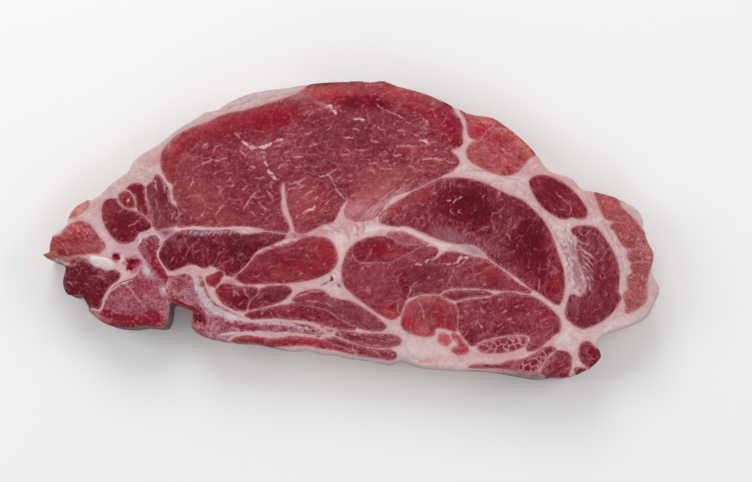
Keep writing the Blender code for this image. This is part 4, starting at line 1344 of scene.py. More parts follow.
@dataclass
class FatCut(Cut):
    """Fat: pale and waxy, pinker beside muscle, with grey threads of membrane."""

    open_width: float = 9.0
    channel_reach: float = 1.3
    channel_points: int = 30

    def texture(self, slab: Slab, shades: np.ndarray, at: Spots) -> np.ndarray:
        """Clouds of pink and grey, faint threads, and a warmer outer wall.

        Args:
            slab: The slice.
            shades: Colours so far.
            at: The points.

        Returns:
            The colours with the pattern.
        """
        cloud = ripple(at.place, 5.0, Noise.FAT_CLOUD)
        shades = mix(shades, Tint.FAT_PINK, 0.24 * ramp(cloud, 0.55, 0.9))
        shades = mix(shades, Tint.FAT_GREY, 0.3 * ramp(cloud, 0.42, 0.1))
        fine = ripple(at.place, 1.1, Noise.FAT_FINE)
        shades = mix(shades, Tint.FAT_WHITE, 0.28 * ramp(fine, 0.58, 0.9))
        thread = 1.0 - np.abs(2.0 * ripple(at.place, 2.1, Noise.FAT_THREAD) - 1.0)
        here = ramp(ripple(at.place, 4.5, Noise.FAT_THREAD_PLACE), 0.45, 0.8)
        shades = mix(shades, Tint.MEMBRANE, 0.16 * ramp(thread, 0.9, 1.0) * here)
        rim = slab.rim_distance(at.place[:, :2])
        shades = mix(shades, Tint.FAT_GREY, 0.35 * ramp(rim, 1.6, 0.2) * ~at.wall)
        layer = ripple(at.place * np.array([0.25, 0.25, 1.0]), 1.8, Noise.FAT_LAYER)
        shades = mix(shades, Tint.SALMON, at.wall * 0.35 * ramp(layer, 0.45, 0.8))
        dull = ripple(at.place, 4.0, Noise.FAT_DULL)
        return mix(shades, Tint.GREY_LINE, at.wall * 0.3 * ramp(dull, 0.55, 0.9))

    def edges(self, slab: Slab, shades: np.ndarray, at: Spots) -> np.ndarray:
        """A pink flush beside the muscles, whose tone creeps over the seam.

        Args:
            slab: The slice.
            shades: Colours so far.
            at: The points.

        Returns:
            The colours with their border.
        """
        faces = self.faced(slab, at.nearest)
        rough = ripple(at.place, 0.8, self.seed + 8) - 0.5
        wander = ripple(at.place, 2.4, self.seed + 9)
        flush = 0.5 * ramp(at.away + rough, 2.2, 0.2)
        shades = mix(shades, Tint.FAT_PINK, np.where(faces != "", flush, 0.0))
        lean = ~np.isin(faces, ("", "cartilage", "bone", "fat"))
        width = self.channel(at)
        spread = np.minimum(0.06 + 0.32 * ramp(width, 1.9, 1.1), 0.5 * width - 0.33)
        spread = np.maximum(spread + 0.35 * rough, 0.0)
        halo = ramp(at.away, spread + 0.35 + 0.5 * wander, spread)
        shades = mix(shades, Tint.ROSE, np.where(lean, 0.55 * halo, 0.0))
        tones = np.array([slab.tones[name] for name in slab.names] + [self.mid], float) / 255.0
        share = np.where(lean, 0.9 * ramp(at.away, spread + 0.16, spread - 0.12), 0.0)
        return blend(shades, tones[self.facing[at.nearest]], share)

    def channel(self, at: Spots) -> np.ndarray:
        """Width of the fat between the two nearest pieces.

        Args:
            at: The points.

        Returns:
            The width at each point, large where the fat is wide.
        """
        width = np.full(len(at.place), self.open_width)
        own = self.facing[at.nearest]
        for i in np.flatnonzero((at.away < self.channel_reach) & (own >= 0)):
            x, y = at.place[i, :2]
            for _, number, far in self.tree.find_n((x, y, 0.0), self.channel_points):
                if self.facing[number] not in (own[i], -1):
                    width[i] = at.away[i] + far
                    break
        return width


@dataclass
class BoneCut(Cut):
    """Sawn bone: red marrow in a fine pale lattice, with blood and a grey outer wall darkened by painted
    shade.
    """

    lattice: float = 0.6

    def texture(self, slab: Slab, shades: np.ndarray, at: Spots) -> np.ndarray:
        """Dark clouds of marrow on the face, and a dull grey wall with uneven patches of painted shade.

        Args:
            slab: The slice. Not used.
            shades: Colours so far.
            at: The points.

        Returns:
            The colours with the pattern.
        """
        broad = ripple(at.place, 2.0, self.seed + 6)
        shades = mix(shades, Tint.DEEP, 0.3 * self.lattice * ramp(broad, 0.6, 0.9))
        shades = mix(shades, Tint.BONE_GREY, at.wall * 0.6)
        # Painted shade: the grey wall is darkened further in uneven patches.
        patchy_shade = ramp(ripple(at.place, 3.0, Noise.BONE_WALL), 0.2, 0.6)
        return mix(shades, Tint.PAINTED_SHADE, at.wall * (0.35 + 0.5 * patchy_shade))

    def edges(self, slab: Slab, shades: np.ndarray, at: Spots) -> np.ndarray:
        """The spongy lattice wherever the bone is dark enough, and a thin pale shell of dense bone.

        Args:
            slab: The slice. Not used.
            shades: Colours so far.
            at: The points.

        Returns:
            The colours with lattice and shell.
        """
        spongy = self.lattice * ramp(shades[:, 1], 0.7, 0.5)
        holes = 0.65 * ripple(at.place, 0.42, self.seed + 5) + 0.35 * ripple(at.place, 0.8, self.seed + 4)
        shades = mix(shades, Tint.DEEP, 0.95 * spongy * ramp(holes, 0.46, 0.22))
        shades = mix(shades, Tint.MARROW_PALE, 1.1 * spongy * ramp(holes, 0.56, 0.78))
        rough = ripple(at.place, 1.4, self.seed + 8)
        shell = ramp(at.away, 0.55, 0.15) * (0.2 + 0.7 * rough)
        return mix(shades, Tint.MARROW_PALE, np.where(at.wall, 0.0, 0.35 * shell))


@dataclass
class SeamBed:
    """Membranes under the seams, so that no seam is open down to the table."""

    low: float = 0.5
    high: float = 16.2
    inset: float = 1.2

    def build(self, slab: Slab) -> bpy.types.Object:
        """Build one block that fills the inside of the chop up to just under the seams.

        Args:
            slab: The slice.

        Returns:
            The finished piece.
        """
        ring = slab.rim_middle
        loop = ring[self._walk(ring)]
        loop = loop + slab.pull(loop) * self.inset
        faces = sheet_faces([loop], np.zeros((0, 2)))
        count = len(loop)
        spots = np.vstack([np.column_stack([loop, np.full(count, self.high)]),
                           np.column_stack([loop, np.full(count, self.low)])])
        walls = []
        for i in range(count):
            j = (i + 1) % count
            walls += [(i, i + count, j + count), (i, j + count, j)]
        faces = np.vstack([faces, count + faces[:, ::-1], np.array(walls)])
        mesh = bpy.data.meshes.new("seam_bed")
        mesh.from_pydata((spots * METRES).tolist(), [], faces.tolist())
        mesh.update()
        paint = mesh.color_attributes.new("paint", "FLOAT_COLOR", "POINT")
        value = list(linear(Tint.FAT_PINK.shade())) + [1.0]
        paint.data.foreach_set("color", np.tile(value, len(spots)).astype(np.float32))
        mesh.materials.append(MEMBRANE_FINISH.material())
        thing = bpy.data.objects.new("seam_bed", mesh)
        bpy.context.scene.collection.objects.link(thing)
        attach(thing, "root")
        return thing

    @staticmethod
    def _walk(ring: np.ndarray) -> list[int]:
        """Order the rim's points by walking from each to the nearest one not yet passed.

        Args:
            ring: Points of the rim in any order.

        Returns:
            Their numbers in walking order.
        """
        left = set(range(len(ring)))
        here = 0
        order = []
        while left:
            left.discard(here)
            order.append(here)
            if not left:
                break
            rest = np.array(sorted(left))
            here = int(rest[np.linalg.norm(ring[rest] - ring[here], axis=1).argmin()])
        return order


@dataclass
class EyeSide:
    """The large eye muscle with its marbling, and the cap muscle beside it."""

    marble_width: float = 0.45

    def cuts(self) -> list[Cut]:
        """List the pieces of this side of the chop.

        Returns:
            The pieces, ready to be built.
        """
        eye = LeanCut(
            "eye_muscle", "lean", (121, 42, 50), (141, 60, 68), (164, 82, 88),
            self.band() + self.fine() + self.bold() + self.pale() + self.faint(),
            patches(
                (Tint.RED, 0.5, -27, 36.6, 12, 4, 12), (Tint.BLOOD, 0.45, -24.5, 36.6, 6, 3, 8),
                (Tint.RED, 0.6, -10, 44, 7, 1.6, 8), (Tint.CORAL, 0.5, -7, 47.2, 9, 1.2, 4),
                (Tint.CORAL, 0.5, 14, 46.6, 12, 1.3, -14), (Tint.RED, 0.6, 2, 43.2, 10, 2.6, -5),
                (Tint.DARK, 0.75, 0, 42.3, 3.6, 2.2, 0), (Tint.DARK, 0.7, 9, 42.0, 3.6, 2.4, -10),
                (Tint.RED, 0.5, 22, 41, 9, 3, -22), (Tint.RED, 0.6, 31.2, 34.6, 3.8, 6, 12),
                (Tint.BLOOD, 0.35, 33.4, 33.5, 2.4, 3.6), (Tint.PLUM, 0.38, -2, 32, 16, 6, 5),
                (Tint.PLUM, 0.35, 9, 27.2, 5, 3), (Tint.PLUM, 0.3, -30, 15, 9, 5, 20),
                (Tint.CORAL, 0.3, -13, 9, 5, 6, 10), (Tint.PALE_LEAN, 0.6, 5, 10.5, 10, 4.6, 32),
                (Tint.MARBLE, 0.8, 1.5, 6.6, 4.6, 2.6, 25), (Tint.ROSE, 0.45, -17, 8.5, 5, 5),
                (Tint.ROSE, 0.35, -50, 14, 9, 7), (Tint.MARBLE, 0.3, 11, 13.4, 6, 1.8, 38),
                (Tint.ROSE, 0.35, 17, 19, 11, 4, 25), (Tint.HAZE, 0.45, -14, 43.6, 6, 1.3, 15),
                (Tint.MARBLE, 0.55, -9.5, 41.5, 3.5, 1.1, -25), (Tint.ROSE, 0.3, -45, 8, 9, 5),
                (Tint.PLUM, 0.35, -10.5, 20.5, 6, 5, 20), (Tint.DEEP, 0.5, 14.2, 24, 4.4, 3),
                (Tint.FAT_PINK, 0.8, 7, 5.4, 6, 1.9, 42), (Tint.FAT_PINK, 0.65, 14.6, 11.2, 6, 1.3, 38),
                (Tint.DEEP, 0.45, 15, 38.4, 5.5, 2.8, -15), (Tint.DEEP, 0.36, -35.7, 9, 9, 4.6),
                (Tint.DEEP, 0.33, -25, 12.2, 4, 4.6), (Tint.DEEP, 0.42, -35.7, 31.8, 8, 3, 12),
                (Tint.DEEP, 0.28, -42.2, 19.7, 9, 6), (Tint.MARBLE, 0.4, -59, 27.6, 3, 2.2, 45),
                (Tint.MARBLE, 0.5, -17, 44.6, 3.4, 1.4, 10), (Tint.CORAL, 0.4, -10, 45.4, 4.4, 1.6)),
            grain=18.0, veins=0.36, flecks=0.15, seed=11)
        cap = LeanCut(
            "cap_muscle", "lean_orange", (147, 50, 56), (168, 75, 80), (194, 108, 108),
            streaks(
                Tint.MARBLE, 0.45, 0.7,
                (39.7, 35.7, 46, 35.4, 46.4, 34, 44.5, 33, 43.5, 31.5, 43, 30.3, 41.5, 29.2),
                (46.5, 33.3, 49, 33.8, 51.2, 33), (49, 27, 50, 26, 51.5, 25, 53, 24),
                (43.2, 27.5, 44.5, 26.8), (50.4, 20.5, 51.4, 21.4, 52.6, 21.2), (46, 23.5, 47.2, 24.2),
                (42.3, 24.3, 43.4, 23.8)),
            patches(
                (Tint.ORANGE, 0.5, 54, 32, 9, 2.4, -40), (Tint.AMBER, 0.45, 58, 27, 4.4, 1.6, -48),
                (Tint.ORANGE, 0.4, 41, 38.6, 6, 1.4, -15), (Tint.BRIGHT, 0.75, 42.4, 33, 3.8, 2.3),
                (Tint.RED, 0.4, 47.5, 30.2, 3, 2), (Tint.ROSE, 0.5, 43, 24.5, 5, 3.4),
                (Tint.MARBLE, 0.5, 54.8, 29.5, 1.3, 0.9), (Tint.CORAL, 0.2, 49, 24, 5, 4)),
            grain=-35.0, veins=0.4, flecks=0.09, seed=23)
        return [eye, cap]

    def fine(self) -> list[Streak]:
        """Thin flecks of marbling all over the eye muscle.

        Returns:
            The marks, in the order in which they are painted.
        """
        return streaks(
            Tint.MARBLE, self.marble_width + 0.1, 0.75, (-38.5, 32, -37.4, 31.2, -36.8, 30.4),
            (-25.5, 27.2, -23.5, 28, -22.5, 28.7),
            (-52, 20, -50, 21.3, -48, 22.3, -46, 23.2, -43, 23, -41, 24), (-41.7, 22.5, -40.3, 21.8),
            (-22.3, 25.4, -20.8, 25.7), (-29.8, 25.4, -28.3, 25.6), (-30, 23.6, -28, 23.8),
            (-19, 24, -16, 24.3), (-21.5, 23, -20, 22.8), (-24, 20.2, -22.3, 21.7),
            (-21, 31.3, -18.5, 31.5), (-15, 31.5, -11, 33.5),
            (14.5, 28.2, 15.2, 27.2, 16.8, 27.4, 20, 27.7, 21, 28), (15.2, 32.7, 17.5, 32.9),
            (-44.5, 5, -42, 8), (-30.5, 9, -29, 7.5, -27, 6), (-43, 12.5, -42, 13.5), (-49, 4.5, -48, 6),
            (-36, 8, -35, 7, -33.5, 9.5, -32, 11.5, -30, 13), (-45.5, 25.5, -44.7, 27.3, -43, 28.2),
            (-48.5, 27.6, -47, 28.6), (-36.5, 26.3, -35, 24.5), (-33.5, 21.3, -31.5, 20.6),
            (-35.5, 13.2, -34, 14.8), (-39.5, 14.2, -38.4, 15.2), (-27.5, 12.5, -26, 11.2, -25.2, 9.5),
            (-33, 6.2, -31.2, 4.6), (-26.8, 15.5, -26, 14), (-18.5, 20.5, -16.5, 21),
            (-14, 27.5, -11.5, 28.6), (-12.5, 24.6, -10.5, 25), (-2.5, 30.5, 0.5, 30.2),
            (1.5, 26.5, 4, 26.2), (0.5, 33.5, 2.5, 33), (8.5, 33.7, 11, 33.2), (6.5, 29.5, 9, 29),
            (19.5, 31.8, 22, 31), (24.5, 28.5, 27, 28.8), (-3.5, 24.5, -1, 24.9), (3, 23.2, 5.2, 23.4),
            (13.5, 24.8, 16, 24.5), (-8, 33.5, -6, 34.5), (-18.5, 3.8, -17.6, 4.6), (-16, 5.3, -15, 6.2),
            (-8.5, 8.5, -7.5, 9.6), (-12, 10, -11, 10.7))

    def bold(self) -> list[Streak]:
        """The strong white threads of marbling.

        Returns:
            The marks, in the order in which they are painted.
        """
        return streaks(
            Tint.MARBLE_WHITE, self.marble_width + 0.35, 0.88,
            (-35, 28.8, -33.8, 27.8, -32.8, 26.9, -31, 27.2, -28, 27.6, -26, 28.6, -24, 29.5, -22.7, 29.7),
            (-27.4, 19.6, -26.2, 18, -25, 16.4), (-15, 6.3, -13, 7, -12, 7.5), (1, 36.9, 4, 36.8),
            (-7.2, 41.5, -6.3, 40, -5.3, 38.5), (-28.9, 24.2, -28.4, 22.4, -27.4, 20.6),
            (-35.6, 29.4, -34.4, 28.2, -32.6, 27.6), (-8.4, 40.6, -6.4, 41.2), (23, 29.4, 25, 29.1))

    def pale(self) -> list[Streak]:
        """The long pale threads of marbling.

        Returns:
            The marks, in the order in which they are painted.
        """
        return streaks(
            Tint.MARBLE, self.marble_width + 0.05, 0.85, (-32, 16.7, -30, 16.9, -28.5, 17.5, -27.6, 18),
            (-20.5, 15.2, -17, 15.8, -15, 17), (-20.5, 13.3, -18, 13.8, -15, 14.8),
            (-15.3, 11, -14, 12.5, -12.5, 13.2, -11, 14.5), (-10.5, 17.5, -8, 18.2, -5, 19.5),
            (8, 41.7, 10, 40.4, 12, 39.4, 14.5, 38.2, 16.5, 37, 17.7, 36, 19.3, 35.5),
            (22.5, 37.3, 24, 36.6, 25, 35.5, 25.3, 34.5),
            (23.2, 23.5, 25, 23.3, 28.5, 23.3, 31, 22.6, 34, 22.3), (6, 21.9, 8.5, 22.3),
            (5, 19.3, 7, 19.7, 10, 19.8, 13, 20), (-5.5, 14.5, -4, 12, -2.5, 10.5, -1, 9.8),
            (-5.5, 14.5, -6.5, 17, -8, 18.6), (0, 11, 2, 12), (-53.5, 13.5, -52.4, 15.3, -51.2, 15.6),
            (-52, 15.5, -51.8, 17.4, -50.6, 18.3))

    def faint(self) -> list[Streak]:
        """Faint threads near the outer edge.

        Returns:
            The marks, in the order in which they are painted.
        """
        return streaks(
            Tint.HAZE, 0.5, 0.5, (-53.5, 25, -52, 26.7, -50.3, 28.5), (-9, 23.5, -8, 26.5, -5.5, 29.5),
            (-15, 44, -11, 42.5, -8, 40.5), (-46, 30.5, -43, 28, -41, 25.5),
            (-25, 34, -22, 33, -19, 33.8))

    def band(self) -> list[Streak]:
        """The redder band along the outer edge, and the fan of threads at the lower right.

        Returns:
            The marks, in the order in which they are painted.
        """
        return [
            smear(
                Tint.RED, 4.8, 0.42, 0.0, 0.5, -59.6, 17, -59.4, 22, -57, 27, -52.6, 30.4, -46, 33.4, -38,
                35.8, -29, 37.6, -20, 39.6),
            smear(Tint.CORAL, 1.6, 0.28, 0.0, 0.9, -61, 18, -59.4, 25, -55, 30.4, -48, 34.4, -39.5, 37.2),
            smear(Tint.CORAL, 2.4, 0.3, 0.0, 0.8, -14, 45.2, -4, 45.6, 6, 46, 15, 43.8, 24, 40.4),
            *streaks(
                Tint.MARBLE_WHITE, 0.4, 0.45, (3, 3.4, 7, 7.4, 11, 10.4), (6, 5.6, 11, 9.2, 15.4, 11.8),
                (13, 11.6, 17.6, 14.4, 21.6, 16.6), (9, 9.4, 13.6, 13, 17.4, 15.2))]


@dataclass
class ClusterSide:
    """The tip of the chop and the cluster of small muscles between it and the eye muscle."""

    def cuts(self) -> list[Cut]:
        """List the pieces of this corner of the chop.

        Returns:
            The pieces, ready to be built.
        """
        return [
            LeanCut(
                "tip_muscle", "lean_orange", (130, 42, 49), (158, 73, 78), (184, 112, 109),
                streaks(
                    Tint.MARBLE, 0.4, 0.6, (-93.5, 0.4, -90.5, -1.6, -87.5, -3.2),
                    (-91, 1.8, -88.5, -0.4, -86.8, -2.4), (-88.5, 2.2, -86.8, 0, -85.4, -2.2),
                    (-95.5, -1.4, -93, -2.6), (-86.2, 0.8, -84.6, -1.6)),
                patches(
                    (Tint.CORAL, 0.4, -90, 0.4, 5.5, 2.2, -10), (Tint.RED, 0.4, -90, -3.8, 6.5, 0.8, -3),
                    (Tint.ROSE, 0.5, -89, -5.6, 7.5, 1.4, -3), (Tint.PALE_LEAN, 0.4, -83.5, -5, 2.6, 2),
                    (Tint.TAN, 0.8, -99.5, -7.8, 2.6, 1.6), (Tint.ORANGE, 0.2, -97, -4.5, 2, 2),
                    (Tint.PLUM, 0.3, -85, -2.6, 2, 2)),
                grain=-25.0, veins=0.3, flecks=0.05, seed=41),
            LeanCut(
                "rim_fleck", "lean_orange", (176, 100, 88), (196, 130, 116), (214, 158, 148), [],
                patches(
                    (Tint.ORANGE, 0.35, -90, 6, 3, 1.6, 40), (Tint.MARBLE_WHITE, 0.5, -88.4, 6.4, 1, 0.8)),
                grain=40.0, veins=0.2, flecks=0.02, seed=43),
            LeanCut(
                "cluster_oval", "lean", (116, 34, 40), (138, 52, 58), (166, 82, 86),
                [spot(Tint.MARBLE_WHITE, 0.8, -73.2, 9.6, 0.6, 1.0)], [], grain=60.0, seed=45,
                seam_line=0.9),
            LeanCut(
                "cluster_upper", "lean", (103, 20, 28), (122, 37, 45), (144, 58, 66), [],
                [Patch(Tint.DEEP, 0.4, -70, 12.5, 2, 2)], grain=80.0, veins=0.2, seed=47, seam_line=0.9),
            LeanCut(
                "cluster_large", "lean_dark", (90, 14, 24), (117, 38, 46), (146, 68, 74),
                streaks(Tint.MARBLE, 0.4, 0.75, (-72.8, 1.6, -70.6, 2.2, -69.2, 3.2)),
                patches(
                    (Tint.DARK, 0.75, -73.5, 1.8, 4.2, 3.6), (Tint.ROSE, 0.45, -79, 8, 2.4, 2),
                    (Tint.ROSE, 0.35, -80.5, 4.5, 1.6, 3)),
                grain=50.0, veins=0.2, seed=49, seam_line=0.9),
            LeanCut(
                "finger_muscle", "lean_dark", (112, 40, 49), (125, 54, 62), (146, 76, 82),
                [
                    streak(Tint.MARBLE, 0.7, 0.85, -64.8, 16.6, -64.2, 14.6, -63.6, 12.8),
                    streak(Tint.MARBLE, 0.6, 0.75, -61.9, 16.4, -61.2, 14.4, -61.2, 12.6),
                    streak(Tint.MARBLE, 0.5, 0.7, -59.6, 13.6, -60, 11.4, -59.6, 9.6),
                    streak(Tint.MARBLE, 0.4, 0.6, -64, 10.4, -63.4, 8.6, -63.6, 6.8),
                    streak(Tint.MARBLE, 0.4, 0.6, -57.8, 6.6, -58.4, 4.8, -58.2, 3.4),
                    streak(Tint.MARBLE, 0.4, 0.6, -56.6, 5.4, -57, 3.8, -56.8, 2.6)],
                [Patch(Tint.PLUM, 0.4, -61.5, 10, 2, 5)], grain=75.0, veins=0.35, flecks=0.06, seed=53),
            LeanCut(
                "dark_corner", "lean_dark", (82, 15, 25), (101, 31, 41), (126, 60, 67),
                streaks(
                    Tint.MARBLE, 0.4, 0.55, (-84.6, -15.2, -82.4, -15.4, -80.4, -16),
                    (-87, -17.5, -85.4, -18.2), (-91.4, -17.2, -90.6, -18.4)),
                patches(
                    (Tint.MEMBRANE, 0.4, -86.4, -10.6, 2, 1.2, -10), (Tint.DARK, 0.6, -91.5, -19, 2.4, 2),
                    (Tint.DARK, 0.5, -90.4, -13.5, 3, 2.4), (Tint.DEEP, 0.5, -83, -22.5, 3, 3.5, -40),
                    (Tint.BONE_GREY, 0.6, -84.8, -26, 2, 1.4), (Tint.ROSE, 0.3, -80, -15.4, 4, 1.4)),
                grain=-20.0, veins=0.35, flecks=0.06, seed=55)]


@dataclass
class BoneSide:
    """The backbone with its arch, the rib's head, the rib and the white disc of gristle."""

    def cuts(self) -> list[Cut]:
        """List the pieces of bone and gristle.

        Returns:
            The pieces, ready to be built.
        """
        vertebra = BoneCut(
            "vertebra", "bone", (132, 48, 62), (152, 80, 91), (176, 112, 122),
            [
                firm(
                    Tint.CORTEX, 0.55, 0.8, -80.8, -26.2, -80.3, -23.3, -78.7, -20.6, -76.6, -18.5, -74,
                    -17.2, -71.2, -16.4),
                firm(Tint.MARBLE, 0.45, 0.7, -73.6, -17.6, -71.4, -20, -69, -23, -66.3, -26.3),
                firm(
                    Tint.CORTEX, 1.1, 0.95, -69.9, -5.6, -69.7, -4.2, -68.8, -2.2, -66.2, -1.2, -63.6,
                    -1.4, -62.3, -2.7, -62.6, -4.6),
                firm(
                    Tint.BONE_GREY, 0.6, 0.4, -68.6, -4.8, -67.8, -3.0, -66.2, -2.3, -64.2, -2.5, -63.3,
                    -3.8),
                smear(
                    Tint.BLOOD, 2.4, 0.62, 0.2, 0.7, -66, -4.2, -65, -8, -63.6, -11.6, -61.4, -14.8,
                    -59.6, -16.2),
                smear(
                    Tint.BLOOD, 2.9, 0.8, 0.25, 0.5, -80.6, -26.6, -77.4, -28.4, -71, -29.6, -65, -29.6,
                    -62, -29.2),
                smear(Tint.BLOOD, 2.2, 0.6, 0.2, 0.8, -66.6, -26.6, -64, -27.8, -62, -28.4),
                firm(Tint.FAT_PINK, 1.2, 0.6, -60, -22.8, -59.4, -26.4, -60, -30.2)],
            patches(
                (Tint.CORTEX, 0.9, -66.4, -13.6, 1.7, 3.8, 30),
                (Tint.CORTEX, 0.8, -61, -19.6, 2.3, 1.5, -25), (Tint.CRIMSON, 0.4, -66, -18.5, 4, 2.6),
                (Tint.MARROW_PALE, 0.25, -73.5, -23, 4.2, 4),
                (Tint.BONE_GREY, 0.85, -60.6, -25, 1.1, 1.5),
                (Tint.FAT_PINK, 0.6, -83, -28.2, 3, 1.6, -40),
                (Tint.BONE_GREY, 0.7, -84.6, -27.2, 1.6, 1.2, -20),
                # The first patch on this row is painted shade along the vertebra's near edge.
                (Tint.PAINTED_SHADE, 0.6, -75, -31.6, 7, 0.9, -3), (Tint.DEEP, 0.6, -72, -31.2, 10, 1),
                (Tint.MARROW_PALE, 0.4, -66, -22.6, 2.6, 2.6)),
            veins=0.0, flecks=0.0, seed=61, finish=BONE_FINISH, crowned=False,
            # The shade patch is painted shade on the wall under the vertebra.
            shade_patches=(Patch(Tint.PAINTED_SHADE, 0.65, -73, -32, 12, 3),))
        head = BoneCut(
            "rib_head", "bone", (134, 54, 66), (160, 90, 99), (188, 130, 136),
            [
                smear(
                    Tint.BLOOD, 1.3, 0.75, 0.2, 0.6, -59, -22.2, -56, -23.8, -53, -25.2, -50.5, -26.2,
                    -48.4, -28, -47.4, -30.6),
                streak(Tint.MARBLE, 0.5, 0.6, -57, -22.2, -53.6, -23.8, -50.6, -25.2),
                smear(Tint.BLOOD_DEEP, 1.6, 0.85, 0.3, 0.4, -51.4, -27.8, -50, -28.4, -48.8, -29.8),
                spot(Tint.BLOOD_DEEP, 0.6, -50.6, -29.6, 1.2, 1.2),
                spot(Tint.AMBER, 0.6, -49.6, -31.8, 1.3, 1.6)],
            patches(
                (Tint.LILAC, 0.6, -52, -20.5, 1.8, 3.2, 25), (Tint.TAN, 0.4, -50.8, -31, 1.4, 1.6),
                (Tint.CRIMSON, 0.5, -56, -17.4, 3, 2), (Tint.CORTEX, 0.5, -60, -17.8, 1.6, 1.8),
                (Tint.CORTEX, 0.6, -51, -16, 1.2, 1.6)),
            veins=0.0, flecks=0.0, seed=63, finish=BONE_FINISH, crowned=False, lattice=0.55)
        rib = BoneCut(
            "rib", "bone", (140, 74, 86), (166, 112, 120), (196, 160, 165),
            [
                firm(
                    Tint.CORTEX, 3.0, 0.7, -51, -15.4, -50.2, -19, -48.2, -22.6, -45.4, -25.6, -41.6,
                    -27.6, -38, -28.6),
                firm(Tint.CORTEX, 1.5, 0.7, -40, -28.2, -34, -29.6, -28, -30, -20, -30.8, -13, -32.2),
                firm(Tint.LILAC, 0.8, 0.5, -51.4, -18.6, -50, -22, -47.8, -25, -45.4, -27.4),
                firm(Tint.CORTEX, 1.1, 0.75, -42, -33.9, -34, -33.6, -26, -33.8, -18, -33.7),
                smear(Tint.CRIMSON, 2.0, 0.4, 0.0, 0.8, -43, -30.6, -36, -31.6, -28, -32, -18, -32.2),
                smear(Tint.BLOOD, 1.2, 0.35, 0.0, 1.0, -40, -31, -33, -31.8, -26, -32.2),
                streak(Tint.FAT_PINK, 1.6, 0.6, -46.4, -35.2, -42, -36, -39.6, -36.2),
                *[
                    smear(
                        Tint.DEEP, size, 0.75, 0.0, 0.8, x - size * 0.7, y + 0.1, x + size * 0.7, y - 0.1)
                    for x, y, size in (
                        (-15.8, -31.2, 0.8), (-13.8, -31.6, 0.7), (-12, -32.8, 0.7), (-16.4, -34.2, 0.7),
                        (-14.2, -34.4, 0.6), (-17.6, -31.0, 0.5))]],
            patches(
                (Tint.LILAC, 0.45, -46, -29.6, 2.6, 2.4), (Tint.MARROW_PALE, 0.5, -43.6, -31.4, 2.4, 1.6)),
            veins=0.0, flecks=0.0, seed=65, finish=BONE_FINISH, crowned=False, lattice=0.62)
        disc = Cut(
            "cartilage_disc", "cartilage", (202, 186, 192), (216, 203, 208), (228, 219, 222),
            [firm(Tint.SILVER, 0.5, 0.5, -84, -10.3, -81, -11.6, -78.6, -12)],
            patches(
                (Tint.MEMBRANE, 0.75, -86.6, -9.6, 1.5, 2.4, 10),
                (Tint.LILAC, 0.5, -83.5, -12.4, 4.5, 0.8, -12)),
            seed=67, finish=GRISTLE_FINISH, grit=0.01)
        return [vertebra, head, rib, disc]


